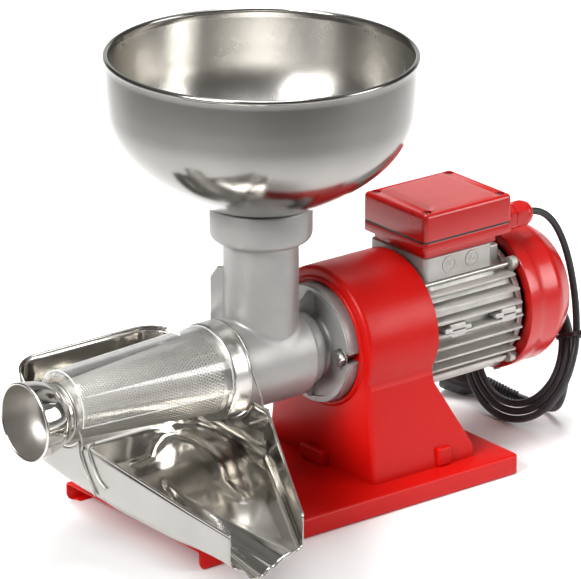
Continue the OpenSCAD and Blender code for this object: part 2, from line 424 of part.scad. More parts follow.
// ---------------------------------------------------------------- tray and hangers
tx0 = -220.3; tx1 = -41;
function arc2(c, r, a0, a1, n) = [for (i = [0 : n]) let (a = a0 + (a1 - a0) * i / n) c + r * [cos(a), sin(a)]];
function tray_plan(t, e) = concat([[tx0 + t, -242 - e]], arc2([tx0 + 36, 52], 36 - t, 180, 90, 8), arc2([tx1 - 36, 52], 36 - t, 90, 0, 8),
  [[tx1 - t, -63], [-142.5 - t * 1.1 - e * 0.57, -242 - e]]);
tray_top = [[90, 156], [64, 152], [52, 143.4], [19, 132], [-23, 118], [-85, 112.8], [-185, 104.4], [-250, 100.4]];
tray_floor = [[-262, 69], [-85, 69], [-3, 74], [35, 79], [60, 90], [90, 112]];
module tray_v(y0, y1, t) { py(y0, y1, [[-214 + t, 72], [-206 + t, 64], [-194, 55 + t], [-185, 56.5 + t], [-162 - t, 68], [-158 - t, 72]]); }
module drip_tray() color("silver") place() difference() {
  union() {
    intersection() {
      translate([0, 0, 50]) linear_extrude(110) polygon(tray_plan(0, 0));
      px(-230, -30, concat(tray_top, tray_floor));
    }
    tray_v(-242, -110, 0);
  }
  intersection() {
    translate([0, 0, 50]) linear_extrude(120) polygon(tray_plan(1.2, 20));
    px(-230, -30, concat([[95, 170], [-262, 170]], [for (q = tray_floor) q + [0, 1.2]]));
  }
  tray_v(-262, -112, 1.2);
  // reliefs around the barrel and the cone
  cx(-60, -30, 46.5, 0, az, 64);
  cx(-230, -200, 35, 0, 142.4, 64);
  for (s = [-1, 1]) { translate([-225, s * 32, 112]) rotate([0, 90, 0]) cylinder(h = 12, r = 1.6, $fn = 20); translate([-50, s * 52, 102]) rotate([0, 90, 0]) cylinder(h = 14, r = 1.6, $fn = 20); }
}
function loop_pts(x, r, yl, zl, d) = concat(
  [for (q = d) [x + q[0], -yl + q[1], zl + q[2]]],
  [for (a = [190 : -12.5 : -10]) [x, r * cos(a), az + r * sin(a)]],
  [for (i = [len(d) - 1 : -1 : 0]) [x + d[i][0], yl - d[i][1], zl + d[i][2]]]);
module front_hanger() color("silver") place() sweep(loop_pts(-222, 26.6, 32, 112, [[12.5, 0, 0], [1, 0, 0], [0, -0.4, 1.2], [0, -1.2, 5], [0, 0.6, 11]]), 0.9, 8);
module rear_hanger() color("silver") place() sweep(concat(
  [[-53, -52, 102], [-41, -52, 102], [-39.8, -52.5, 103.2], [-39.6, -53.5, 106], [-39.4, -54.5, 112], [-40.2, -53, 122], [-41.6, -49, 133]],
  [for (a = [168 : -13 : 12]) [-43, 43.9 * cos(a), az + 43.9 * sin(a)]],
  [[-39.9, 47, 138], [-39.7, 51, 129], [-39.4, 54, 119], [-39.4, 54.5, 112], [-39.6, 53.5, 106], [-39.8, 52.5, 103.2], [-41, 52, 102], [-53, 52, 102]]), 0.9, 8);

base_plate();
gear_housing();
housing_screws();
body_casting();
flange_bolts();
flange_washers();
shaft_seal();
output_bearing();
gear_plate();
gear_plate_posts();
gear_plate_screws();
gear_plate_bush();
layshaft_bearings();
motor_mount_screws();
motor_front_shield();
motor_front_bearing();
stator_housing();
stator_core();
stator_winding();
motor_rear_shield();
motor_rear_bearing();
motor_tie_rods();
fan_cowl();
cowl_screws();
terminal_box_base();
terminal_box_gasket();
terminal_box_lid();
lid_screws();
capacitor();
terminal_block();
switch_frame();
rocker_button();
cable_gland();
gland_nut();
power_cord();
cord_coil();
cord_tail();
cable_tie();
plug_body();
plug_pins();
plug_boot();
rotor_core();
motor_shaft();
motor_pinion();
cooling_fan();
layshaft();
layshaft_gear();
layshaft_pinion();
output_shaft();
output_gear();
worm();
hopper_bowl();
strainer_ring();
strainer_cone();
waste_bell();
splash_guard();
drip_tray();
front_hanger();
rear_hanger();
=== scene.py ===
import json
import math

import bpy
from mathutils import Matrix, Vector, geometry


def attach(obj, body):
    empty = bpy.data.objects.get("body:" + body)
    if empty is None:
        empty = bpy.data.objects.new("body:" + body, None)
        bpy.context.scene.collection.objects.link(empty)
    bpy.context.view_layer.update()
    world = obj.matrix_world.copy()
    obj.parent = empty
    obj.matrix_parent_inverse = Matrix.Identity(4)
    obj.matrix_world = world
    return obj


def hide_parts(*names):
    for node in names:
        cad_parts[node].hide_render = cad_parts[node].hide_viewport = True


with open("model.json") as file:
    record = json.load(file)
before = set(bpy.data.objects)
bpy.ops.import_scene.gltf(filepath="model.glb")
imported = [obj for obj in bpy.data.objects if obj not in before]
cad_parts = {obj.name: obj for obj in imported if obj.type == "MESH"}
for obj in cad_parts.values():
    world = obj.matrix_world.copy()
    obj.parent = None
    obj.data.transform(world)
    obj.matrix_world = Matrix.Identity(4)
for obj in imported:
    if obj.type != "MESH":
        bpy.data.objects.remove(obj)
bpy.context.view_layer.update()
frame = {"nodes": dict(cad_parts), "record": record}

NODE = frame["nodes"]
OFF = (-32.5, 51.0, 0.0)
AZ = 136.7
PI = math.pi
scene = bpy.context.scene


def P(x, y, z):
    return Vector(((x + OFF[0]) * 1e-3, (y + OFF[1]) * 1e-3, (z + OFF[2]) * 1e-3))


def clamp(v, a=0.0, b=1.0):
    return max(a, min(b, v))


def smoothstep(t):
    t = clamp(t)
    return t * t * (3 - 2 * t)


def lerp(a, b, t):
    return a + (b - a) * t


def interp(x, pts):
    if x <= pts[0][0]:
        return pts[0][1]
    for (a, fa), (b, fb) in zip(pts, pts[1:]):
        if x <= b:
            return fa + (fb - fa) * (x - a) / (b - a)
    return pts[-1][1]


def catmull(p, k):
    out = []
    n = len(p)
    for i in range(n - 1):
        a, b, c, d = p[max(i - 1, 0)], p[i], p[i + 1], p[min(i + 2, n - 1)]
        for j in range(k):
            t = j / k
            out.append(tuple(0.5 * (2 * b[m] + (c[m] - a[m]) * t + (2 * a[m] - 5 * b[m] + 4 * c[m] - d[m]) * t * t
                                    + (3 * b[m] - a[m] - 3 * c[m] + d[m]) * t ** 3) for m in range(len(b))))
    out.append(tuple(p[-1]))
    return out


# ------------------------------------------------------------------ camera
def make_camera():
    az, el, ro = math.radians(-38.32852604889824), math.radians(20.290469953119928), math.radians(0.2804699016162377)
    b = Vector((math.sin(az) * math.cos(el), -math.cos(az) * math.cos(el), math.sin(el)))
    r = Vector((math.cos(az), math.sin(az), 0))
    u = b.cross(r)
    r2 = math.cos(ro) * r + math.sin(ro) * u
    u2 = -math.sin(ro) * r + math.cos(ro) * u
    c = Vector((33.78751111083574, 0, 194.09714500983154)) + b * 4196.039380215616
    cam = bpy.data.objects.new("camera", bpy.data.cameras.new("camera"))
    scene.collection.objects.link(cam)
    cam.data.sensor_fit = "HORIZONTAL"
    cam.data.sensor_width = 36.0
    cam.data.lens = 4657.836882585309 * 36.0 / 581.0
    cam.data.clip_start = 0.1
    cam.data.clip_end = 60.0
    m = Matrix((r2, u2, b)).transposed().to_4x4()
    m.translation = P(*c)
    cam.matrix_world = m
    scene.camera = cam
    return cam


camera = make_camera()


# ------------------------------------------------------------------ node materials
def new_mat(name):
    m = bpy.data.materials.new(name)
    m.use_nodes = True
    nt = m.node_tree
    bsdf = nt.nodes["Principled BSDF"]
    return m, nt, bsdf


def add(nt, kind, **values):
    n = nt.nodes.new(kind)
    for k, v in values.items():
        if k in n.inputs.keys():
            n.inputs[k].default_value = v
        else:
            setattr(n, k, v)
    return n


def noise(nt, scale, detail=3.0, rough=0.5, stretch=None):
    tc = add(nt, "ShaderNodeTexCoord")
    src = tc.outputs["Object"]
    if stretch:
        mp = add(nt, "ShaderNodeMapping")
        mp.inputs["Scale"].default_value = stretch
        nt.links.new(src, mp.inputs["Vector"])
        src = mp.outputs["Vector"]
    n = add(nt, "ShaderNodeTexNoise")
    n.inputs["Scale"].default_value = scale
    n.inputs["Detail"].default_value = detail
    n.inputs["Roughness"].default_value = rough
    nt.links.new(src, n.inputs["Vector"])
    return n.outputs["Fac"]


def ramp(nt, src, stops):
    r = nt.nodes.new("ShaderNodeValToRGB")
    e = r.color_ramp.elements
    while len(e) > 1:
        e.remove(e[-1])
    e[0].position, e[0].color = stops[0][0], (*stops[0][1], 1)
    for pos, col in stops[1:]:
        q = e.new(pos)
        q.color = (*col, 1)
    nt.links.new(src, r.inputs["Fac"])
    return r.outputs["Color"]


def maprange(nt, src, a, b, c, d):
    m = nt.nodes.new("ShaderNodeMapRange")
    for i, v in enumerate((a, b, c, d)):
        m.inputs[i + 1].default_value = v
    nt.links.new(src, m.inputs[0])
    return m.outputs[0]


def bump(nt, bsdf, src, strength, distance, under=None):
    b = nt.nodes.new("ShaderNodeBump")
    b.inputs["Strength"].default_value = strength
    b.inputs["Distance"].default_value = distance
    nt.links.new(src, b.inputs["Height"])
    if under is not None:
        nt.links.new(under, b.inputs["Normal"])
    nt.links.new(b.outputs["Normal"], bsdf.inputs["Normal"])
    return b.outputs["Normal"]


def surface(name, col_a, col_b, rough=(0.3, 0.4), metal=0.0, cscale=30.0, rscale=60.0, bscale=400.0, bstr=0.15, bdist=0.0003,
            coat=0.0, coat_rough=0.1, specular=0.5, stretch=None, aniso=0.0, ior=1.5, fine=None):
    m, nt, s = new_mat(name)
    s.inputs["Metallic"].default_value = metal
    s.inputs["Coat Weight"].default_value = coat
    s.inputs["Coat Roughness"].default_value = coat_rough
    s.inputs["Specular IOR Level"].default_value = specular
    s.inputs["IOR"].default_value = ior
    s.inputs["Anisotropic"].default_value = aniso
    if aniso:
        s.inputs["Anisotropic Rotation"].default_value = 0.25
    c = ramp(nt, noise(nt, cscale, 4.0, 0.6), [(0.3, col_a), (0.7, col_b)])
    nt.links.new(c, s.inputs["Base Color"])
    r = maprange(nt, noise(nt, rscale, 4.0, 0.6, stretch), 0.3, 0.7, rough[0], rough[1])
    nt.links.new(r, s.inputs["Roughness"])
    n = bump(nt, s, noise(nt, bscale, 3.0, 0.6, stretch), bstr, bdist)
    if fine:
        bump(nt, s, noise(nt, fine[0], 2.0, 0.5), fine[1], fine[2], n)
    return m


MAT = {}
MAT["red_paint"] = surface("red_paint", (0.49, 0.003, 0.0015), (0.53, 0.004, 0.002), rough=(0.30, 0.42), cscale=9, rscale=35, bscale=240, bstr=0.06,
                           bdist=0.0004, coat=0.04, coat_rough=0.18, specular=0.2)
MAT["red_plastic"] = surface("red_plastic", (0.50, 0.003, 0.002), (0.54, 0.004, 0.003), rough=(0.27, 0.36), cscale=12, rscale=50, bscale=700, bstr=0.05,
                             bdist=0.0002, coat=0.35, coat_rough=0.08, specular=0.4)
MAT["cast_alloy"] = surface("cast_alloy", (0.33, 0.325, 0.315), (0.37, 0.365, 0.355), rough=(0.40, 0.48), metal=0.45, cscale=25, rscale=60, bscale=1400, bstr=0.16,
                            bdist=0.00015)
MAT["motor_alloy"] = surface("motor_alloy", (0.47, 0.455, 0.43), (0.56, 0.545, 0.52), rough=(0.42, 0.56), metal=0.55, cscale=45, rscale=80, bscale=900, bstr=0.18,
                             bdist=0.0002, fine=(120, 0.10, 0.0005))
MAT["zinc_steel"] = surface("zinc_steel", (0.34, 0.33, 0.315), (0.44, 0.43, 0.41), rough=(0.28, 0.42), metal=1.0, cscale=300, rscale=400, bscale=900, bstr=0.12, bdist=0.0001)
MAT["gear_steel"] = surface("gear_steel", (0.36, 0.36, 0.37), (0.46, 0.46, 0.47), rough=(0.22, 0.38), metal=1.0, cscale=150, rscale=260, bscale=900, bstr=0.12, bdist=0.0001)
MAT["core_steel"] = surface("core_steel", (0.16, 0.16, 0.17), (0.24, 0.24, 0.25), rough=(0.45, 0.6), metal=1.0, cscale=80, rscale=600, bscale=900, bstr=0.3, bdist=0.0003,
                            stretch=(9, 1, 1))
MAT["copper"] = surface("copper", (0.50, 0.17, 0.06), (0.72, 0.33, 0.16), rough=(0.28, 0.42), metal=1.0, cscale=500, rscale=500, bscale=900, bstr=0.5, bdist=0.0005, stretch=(3, 1, 1))
MAT["bronze"] = surface("bronze", (0.45, 0.30, 0.12), (0.60, 0.43, 0.2), rough=(0.35, 0.5), metal=1.0, cscale=300, rscale=300, bscale=1800, bstr=0.2, bdist=0.0001)
MAT["white_plastic"] = surface("white_plastic", (0.78, 0.78, 0.75), (0.84, 0.84, 0.81), rough=(0.28, 0.38), cscale=20, rscale=60, bscale=600, bstr=0.08, bdist=0.0002)
MAT["black_plastic"] = surface("black_plastic", (0.012, 0.012, 0.013), (0.020, 0.020, 0.022), rough=(0.34, 0.46), cscale=60, rscale=120, bscale=1500, bstr=0.15, bdist=0.0001)
MAT["black_rubber"] = surface("black_rubber", (0.012, 0.012, 0.013), (0.022, 0.022, 0.024), rough=(0.36, 0.50), cscale=60, rscale=160, bscale=1300, bstr=0.14, bdist=0.0001)
MAT["grey_plastic"] = surface("grey_plastic", (0.50, 0.51, 0.52), (0.58, 0.59, 0.60), rough=(0.4, 0.5), cscale=60, rscale=120, bscale=1500, bstr=0.1, bdist=0.0001)
MAT["ivory_plastic"] = surface("ivory_plastic", (0.66, 0.62, 0.5), (0.74, 0.70, 0.58), rough=(0.35, 0.5), cscale=60, rscale=120, bscale=1500, bstr=0.1, bdist=0.0001)
MAT["polished_steel"] = surface("polished_steel", (0.64, 0.625, 0.60), (0.69, 0.675, 0.65), rough=(0.07, 0.13), metal=1.0, cscale=40, rscale=55, bscale=700, bstr=0.02,
                                bdist=0.0001)
MAT["tray_steel"] = surface("tray_steel", (0.56, 0.54, 0.505), (0.61, 0.59, 0.555), rough=(0.10, 0.15), metal=1.0, cscale=12, rscale=22, bscale=600, bstr=0.02,
                            bdist=0.0001)
MAT["ring_steel"] = surface("ring_steel", (0.60, 0.585, 0.555), (0.66, 0.645, 0.615), rough=(0.26, 0.33), metal=1.0, cscale=30, rscale=60, bscale=700, bstr=0.02,
                            bdist=0.0001)
MAT["tray_outer"] = surface("tray_outer", (0.37, 0.36, 0.34), (0.42, 0.41, 0.39), rough=(0.22, 0.28), metal=1.0, cscale=12, rscale=22, bscale=600, bstr=0.02,
                            bdist=0.0001)
MAT["bell_inside"] = surface("bell_inside", (0.40, 0.38, 0.35), (0.45, 0.43, 0.40), rough=(0.44, 0.50), metal=1.0, cscale=30, rscale=60, bscale=900, bstr=0.03,
                             bdist=0.0001)
MAT["satin_steel"] = surface("satin_steel", (0.58, 0.56, 0.525), (0.64, 0.618, 0.58), rough=(0.34, 0.42), metal=0.9, cscale=40, rscale=200, bscale=500, bstr=0.04, bdist=0.0002,
                             stretch=(1, 1, 6))
# outside of the bowl: the same steel as the inside but much darker, painted shade standing in for the dark surroundings
# it reflects
MAT["bowl_outside_painted_shade"] = surface("bowl_outside_painted_shade", (0.30, 0.291, 0.276), (0.34, 0.330, 0.313), rough=(0.15, 0.18), metal=1.0, cscale=14, rscale=30, bscale=500, bstr=0.01,
                              bdist=0.0001, aniso=0.45)
MAT["bowl_inside"] = surface("bowl_inside", (0.52, 0.505, 0.475), (0.57, 0.555, 0.525), rough=(0.24, 0.28), metal=1.0, cscale=14, rscale=30, bscale=500, bstr=0.01,
                             bdist=0.0001, aniso=0.65)


def make_clear():
    m, nt, s = new_mat("clear_plastic")
    s.inputs["Base Color"].default_value = (0.95, 0.95, 0.95, 1)
    s.inputs["Metallic"].default_value = 0.85
    s.inputs["IOR"].default_value = 1.49
    s.inputs["Specular IOR Level"].default_value = 0.8
    lw = nt.nodes.new("ShaderNodeLayerWeight")
    lw.inputs["Blend"].default_value = 0.5
    pw = nt.nodes.new("ShaderNodeMath")
    pw.operation = "POWER"
    pw.inputs[1].default_value = 2.0
    nt.links.new(lw.outputs["Facing"], pw.inputs[0])
    a = maprange(nt, pw.outputs[0], 0.0, 1.0, 0.05, 0.90)
    nt.links.new(a, s.inputs["Alpha"])
    r = maprange(nt, noise(nt, 60, 4.0, 0.6), 0.3, 0.7, 0.04, 0.10)
    nt.links.new(r, s.inputs["Roughness"])
    return m


MAT["clear_plastic"] = make_clear()
# guard edge colour: whitish and half opaque, a painted highlight for the light caught along the clear plastic's edges
MAT["clear_edge_painted_highlight"] = surface("clear_edge_painted_highlight", (0.86, 0.87, 0.88), (0.90, 0.91, 0.92), rough=(0.10, 0.16), cscale=30, rscale=60, bscale=700, bstr=0.02, bdist=0.0001, specular=0.8)
MAT["clear_edge_painted_highlight"].node_tree.nodes["Principled BSDF"].inputs["Alpha"].default_value = 0.55
# raised lid panel: a rougher finish than the rest of the lid (real), and a pinker, lighter red that paints the sheen of
# the top light onto it
MAT["lid_panel_painted_sheen"] = surface("lid_panel_painted_sheen", (0.46, 0.075, 0.072), (0.50, 0.09, 0.086), rough=(0.44, 0.52), cscale=14, rscale=60, bscale=900, bstr=0.08, bdist=0.0001)
MAT["wire_steel"] = surface("wire_steel", (0.38, 0.365, 0.34), (0.46, 0.445, 0.42), rough=(0.30, 0.38), metal=1.0, cscale=60, rscale=200, bscale=900, bstr=0.05, bdist=0.0001)


# ------------------------------------------------------------------ mesh helpers
def make(name, verts, faces, mat, body, slot=None, replaces=(), smooth=35.0, fmat=None, mats=None, parent=None, merge=None, flip=None, raw=False):
    me = bpy.data.meshes.new(name)
    vs = [tuple(v) for v in verts] if raw else [tuple(P(*v)) for v in verts]
    me.from_pydata(vs, [], [tuple(f) for f in faces])
    for mm in (mats or [mat]):
        me.materials.append(MAT[mm] if isinstance(mm, str) else mm)
    if fmat:
        for p, i in zip(me.polygons, fmat):
            p.material_index = i
    me.update()
    import bmesh
    bm = bmesh.new()
    bm.from_mesh(me)
    if merge:
        bmesh.ops.remove_doubles(bm, verts=bm.verts, dist=merge * 1e-3)
    bmesh.ops.recalc_face_normals(bm, faces=bm.faces)
    if flip:
        bmesh.ops.reverse_faces(bm, faces=bm.faces)
    bm.to_mesh(me)
    bm.free()
    o = bpy.data.objects.new(name, me)
    scene.collection.objects.link(o)
    me.shade_smooth()
    me.set_sharp_from_angle(angle=math.radians(smooth))
    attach(o, body)
    if replaces:
        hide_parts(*replaces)
    return o


def rings_faces(nr, n, closed=True, cap0=False, cap1=False, base=0):
    f = []
    m = n if closed else n - 1
    for i in range(nr - 1):
        for j in range(m):
            k = (j + 1) % n
            f.append((base + i * n + j, base + i * n + k, base + (i + 1) * n + k, base + (i + 1) * n + j))
    if cap0:
        f.append(tuple(base + j for j in range(n - 1, -1, -1)))
    if cap1:
        f.append(tuple(base + (nr - 1) * n + j for j in range(n)))
    return f


class Build:
    """Collects parts of one piece."""

    def __init__(self):
        self.v, self.f, self.m = [], [], []

    def put(self, verts, faces, mi=0):
        b = len(self.v)
        self.v += [tuple(q) for q in verts]
        self.f += [tuple(b + i for i in f) for f in faces]
        self.m += [mi] * len(faces)
        return self

    def rev(self, prof, axis="x", c=(0, 0, AZ), n=96, closed_prof=False, mi=0, a0=0.0):
        """Revolve [radius, along] points about an axis through c."""
        vs = []
        for r, t in prof:
            for j in range(n):
                a = a0 + 2 * PI * j / n
                if axis == "x":
                    vs.append((t, c[1] - r * math.sin(a), c[2] + r * math.cos(a)))
                else:
                    vs.append((c[0] + r * math.cos(a), c[1] + r * math.sin(a), t))
        fs = rings_faces(len(prof), n)
        if closed_prof:
            k = len(prof) - 1
            fs += [(k * n + j, k * n + (j + 1) % n, (j + 1) % n, j) for j in range(n)]
        return self.put(vs, fs, mi)

    def loft(self, rings, closed=True, cap0=False, cap1=False, mi=0):
        n = len(rings[0])
        return self.put([q for r in rings for q in r], rings_faces(len(rings), n, closed, cap0, cap1), mi)

    def slab(self, outer, holes, fn0, fn1, mi=0):
        """Solid plate from a 2-D outline with holes; fn0 and fn1 place it at its two faces."""
        loops = [outer] + list(holes)
        tri = geometry.tessellate_polygon([[Vector((p[0], p[1], 0)) for p in lp] for lp in loops])
        flat = [p for lp in loops for p in lp]
        n = len(flat)
        vs = [fn0(*p) for p in flat] + [fn1(*p) for p in flat]
        fs = [tuple(t) for t in tri] + [tuple(n + i for i in reversed(t)) for t in tri]
        b = 0
        for lp in loops:
            k = len(lp)
            fs += [(b + i, b + (i + 1) % k, n + b + (i + 1) % k, n + b + i) for i in range(k)]
            b += k
        return self.put(vs, fs, mi)

    def box(self, a, b, mi=0):
        x0, y0, z0 = a
        x1, y1, z1 = b
        return self.put([(x0, y0, z0), (x1, y0, z0), (x1, y1, z0), (x0, y1, z0), (x0, y0, z1), (x1, y0, z1), (x1, y1, z1), (x0, y1, z1)],
                        [(3, 2, 1, 0), (4, 5, 6, 7), (0, 1, 5, 4), (1, 2, 6, 5), (2, 3, 7, 6), (3, 0, 4, 7)], mi)

    def done(self, name, mat, body, **kw):
        return make(name, self.v, self.f, mat, body, fmat=self.m if kw.get("mats") else None, **kw)


def mod_bevel(o, width, seg=3, angle=40.0, profile=0.5):
    m = o.modifiers.new("bevel", "BEVEL")
    m.width = width * 1e-3
    m.segments = seg
    m.limit_method = "ANGLE"
    m.angle_limit = math.radians(angle)
    m.profile = profile
    m.miter_outer = "MITER_ARC"
    m.use_clamp_overlap = True
    m.harden_normals = False
    return m


def mod_solid(o, t, offset=-1.0, rim=True):
    m = o.modifiers.new("thick", "SOLIDIFY")
    m.thickness = t * 1e-3
    m.offset = offset
    m.use_even_offset = True
    m.use_rim = rim
    return m


def apply_mods(o, smooth=35.0):
    dg = bpy.context.evaluated_depsgraph_get()
    dg.update()
    me = bpy.data.meshes.new_from_object(o.evaluated_get(dg))
    old = o.data
    o.modifiers.clear()
    o.data = me
    me.name = o.name
    me.shade_smooth()
    me.set_sharp_from_angle(angle=math.radians(smooth))
    if old.users == 0:
        bpy.data.meshes.remove(old)
    return o


def cut(o, cutters):
    """Boolean difference with closed cutters, applied at once."""
    for c in cutters:
        m = o.modifiers.new("cut", "BOOLEAN")
        m.operation = "DIFFERENCE"
        m.solver = "EXACT"
        m.object = c
    bpy.context.view_layer.update()
    dg = bpy.context.evaluated_depsgraph_get()
    me = bpy.data.meshes.new_from_object(o.evaluated_get(dg))
    o.modifiers.clear()
    o.data = me
    for c in cutters:
        bpy.data.objects.remove(c)
    return o


def solid_obj(b):
    me = bpy.data.meshes.new("tmp")
    me.from_pydata([tuple(P(*q)) for q in b.v], [], b.f)
    o = bpy.data.objects.new("tmp", me)
    scene.collection.objects.link(o)
    import bmesh
    bm = bmesh.new()
    bm.from_mesh(me)
    bmesh.ops.remove_doubles(bm, verts=bm.verts, dist=1e-7)
    bmesh.ops.recalc_face_normals(bm, faces=bm.faces)
    bm.to_mesh(me)
    bm.free()
    return o


def tube(name, pts, r, mat, body, replaces=(), cyclic=False, res=5):
    cu = bpy.data.curves.new(name, "CURVE")
    cu.dimensions = "3D"
    cu.bevel_depth = r * 1e-3
    cu.bevel_resolution = res
    cu.use_fill_caps = True
    sp = cu.splines.new("POLY")
    sp.points.add(len(pts) - 1)
    for q, p in zip(sp.points, pts):
        q.co = (*P(*p), 1)
    sp.use_cyclic_u = cyclic
    sp.use_smooth = True
    cu.materials.append(MAT[mat])
    o = bpy.data.objects.new(name, cu)
    scene.collection.objects.link(o)
    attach(o, body)
    if replaces:
        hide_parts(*replaces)
    return o


def arc(cx, cy, r, a0, a1, n):
    return [(cx + r * math.cos(math.radians(lerp(a0, a1, i / n))), cy + r * math.sin(math.radians(lerp(a0, a1, i / n)))) for i in range(n + 1)]


def rrect(x0, y0, x1, y1, r, n=8):
    r = max(r, 0.05)
    return (arc(x1 - r, y1 - r, r, 0, 90, n) + arc(x0 + r, y1 - r, r, 90, 180, n)
            + arc(x0 + r, y0 + r, r, 180, 270, n) + arc(x1 - r, y0 + r, r, 270, 360, n))


def at(z):
    return lambda x, y: (x, y, z)


def rbox_rings(x0, y0, x1, y1, r, steps):
    """Rings of a rounded rectangle: steps are [inset, height]."""
    return [[(x, y, z) for x, y in rrect(x0 + i, y0 + i, x1 - i, y1 - i, r - i)] for i, z in steps]


# ------------------------------------------------------------------ mains cable
ROUTE = [(289, -31, 222.9), (299, -31.2, 221.4), (309, -31.8, 216.6), (318, -33, 208), (325, -35, 196), (330.5, -37.5, 181), (334, -40.5, 164), (336, -44, 145),
         (336, -48, 126), (334.4, -52, 108), (331.6, -55, 94), (328.6, -57.2, 84)]
COIL_C = Vector((318.5, 9.7, 69.6))
TAIL = [(329.8, -47.8, 72.3), (328.3, -48.3, 66.6), (327.4, -48.3, 60.9), (326.9, -47.8, 55.1), (326.8, -46.8, 49.4), (327.2, -45.4, 43.8), (327.9, -43.6, 38.3),
        (329.0, -41.2, 33.1), (330.3, -38.4, 28.2), (331.8, -35.2, 23.7), (333.5, -31.4, 19.5), (335.2, -27.3, 15.9), (337.1, -22.8, 12.7), (338.9, -18.0, 10.1),
        (340.7, -13.0, 7.9), (342.4, -7.7, 6.3), (343.7, -2.2, 5.0), (344.7, 3.5, 4.2), (345.2, 9.2, 3.7), (345.2, 15.0, 3.6), (344.6, 20.7, 3.7), (343.4, 26.4, 4.2),
        (341.6, 31.8, 4.8), (339.2, 37.0, 5.8), (337.5, 39.9, 6.5), (335.5, 43.3, 7.4), (333.5, 46.7, 8.2)]
COIL_M = Matrix.Rotation(math.radians(3), 3, "Z") @ Matrix.Rotation(math.radians(18), 3, "Y") @ Matrix.Rotation(math.radians(90), 3, "Y")


def coil_pt(phi, rho, h):
    a = math.radians(phi)
    return COIL_C + COIL_M @ Vector((rho * math.cos(a), rho * math.sin(a), h))


def coil_rho(phi):
    r = 69.6
    r -= 7.6 * smoothstep((phi - 185) / 55)
    r -= 7.5 * smoothstep((phi - 545) / 60)
    r += 3.75 * smoothstep((phi - 880) / 70)
    return r


def coil_h(phi):
    return 7.0 * smoothstep((phi - 856) / 66)


def cord_points():
    pts = [(285.5, -31, 223)] + catmull(ROUTE, 4)
    phi = -96.0
    while phi <= 978.1:
        pts.append(tuple(coil_pt(phi, coil_rho(phi), coil_h(phi))))
        phi += 6.0
    pts = pts + TAIL
    # the outermost strand stays inside the CAD envelope
    pts = [(x if x < 343.2 else 343.2 + 1.0 * math.tanh((x - 343.2) / 1.0), y, z) for x, y, z in pts]
    for _ in range(3):
        q = [pts[0], pts[1]]
        for i in range(2, len(pts) - 1):
            q.append(tuple(0.25 * pts[i - 1][m] + 0.5 * pts[i][m] + 0.25 * pts[i + 1][m] for m in range(3)))
        q.append(pts[-1])
        pts = q
    return pts


cord_pts = cord_points()
cable = tube("mains_cable", cord_pts, 3.4, "black_rubber", "frame", replaces=("power_cord", "cord_coil", "cord_tail"))

PLUG_C = Vector((312, 84, 17.4))
PLUG_M = Matrix.Rotation(math.radians(120), 3, "Z") @ Matrix.Rotation(math.radians(-12), 3, "Y") @ Matrix.Rotation(math.radians(90), 3, "Y")


def plug_rev(prof, n=64, ribs=None, sx=None):
    vs = []
    for r, t in prof:
        for j in range(n):
            a = 2 * PI * j / n
            k = sx(a, r, t) if sx else r
            vs.append(tuple(PLUG_C + PLUG_M @ Vector((k * math.cos(a), k * math.sin(a), t))))
    return vs, rings_faces(len(prof), n, True, True, True)


def grip(a, r, t):
    if -14 < t < 10 and r > 12:
        return r - 0.55 * (0.5 + 0.5 * math.cos(16 * a)) * smoothstep((t + 14) / 5) * smoothstep((10 - t) / 4)
    return r


body_prof = catmull([(7.5, -19.0), (9.5, -18.9), (11.2, -16.8), (12.4, -14.2), (14.2, -10.6), (15.7, -7.4), (16.7, -3.4), (17.0, 0.0), (17.0, 8.0), (17.0, 15.5), (16.7, 17.2), (15.6, 18.0), (9.0, 18.0), (2.0, 18.0)], 4)
b = Build().put(*plug_rev(body_prof, 128, sx=grip))
plug = b.done("plug_shell", "black_plastic", "frame", replaces=("plug_body",), smooth=50)
prof = []
for k in range(12):
    t0 = -57 + k * 3.15
    r0 = interp(t0, [(-57, 5.0), (-50, 5.4), (-42, 6.5), (-32, 7.8), (-24, 8.6), (-19, 8.8)])
    prof += [(r0 - 1.3, t0 + 0.1), (r0 - 0.2, t0 + 0.35), (r0, t0 + 0.8), (r0, t0 + 1.7), (r0 - 0.2, t0 + 2.1), (r0 - 1.3, t0 + 2.35)]
prof = [(3.5, -57)] + prof + [(8.0, -19.1), (4.0, -19.0)]
boot = Build().put(*plug_rev(prof, 48)).done("plug_boot_ribbed", "black_rubber", "frame", replaces=("plug_boot",), smooth=45)


def pin_obj(name, s):
    a = math.radians(20)
    c0 = Vector((-s * math.sin(a), s * math.cos(a), 0))
    vs = []
    prof = [(0.2, 18.0), (2.05, 18.0), (2.05, 27.5), (2.4, 27.8), (2.4, 35.4)] + [(2.4 * math.cos(math.radians(q)), 35.4 + 2.3 * math.sin(math.radians(q))) for q in (20, 40, 60, 80)]
    n = 32
    for r, t in prof:
        for j in range(n):
            w = 2 * PI * j / n
            vs.append(tuple(PLUG_C + PLUG_M @ (c0 + Vector((r * math.cos(w), r * math.sin(w), t)))))
    sleeve = [1 if i < 2 * n else 0 for i in range((len(prof) - 1) * n)] + [0, 0]
    return vs, rings_faces(len(prof), n, True, True, True), sleeve


b = Build()
for s in (-9.5, 9.5):
    v, f, m = pin_obj("pin", s)
    k = len(b.v)
    b.v += v
    b.f += [tuple(k + i for i in q) for q in f]
    b.m += m
pins = b.done("plug_pin_pair", "zinc_steel", "frame", replaces=("plug_pins",), mats=["zinc_steel", "black_plastic"], smooth=40)


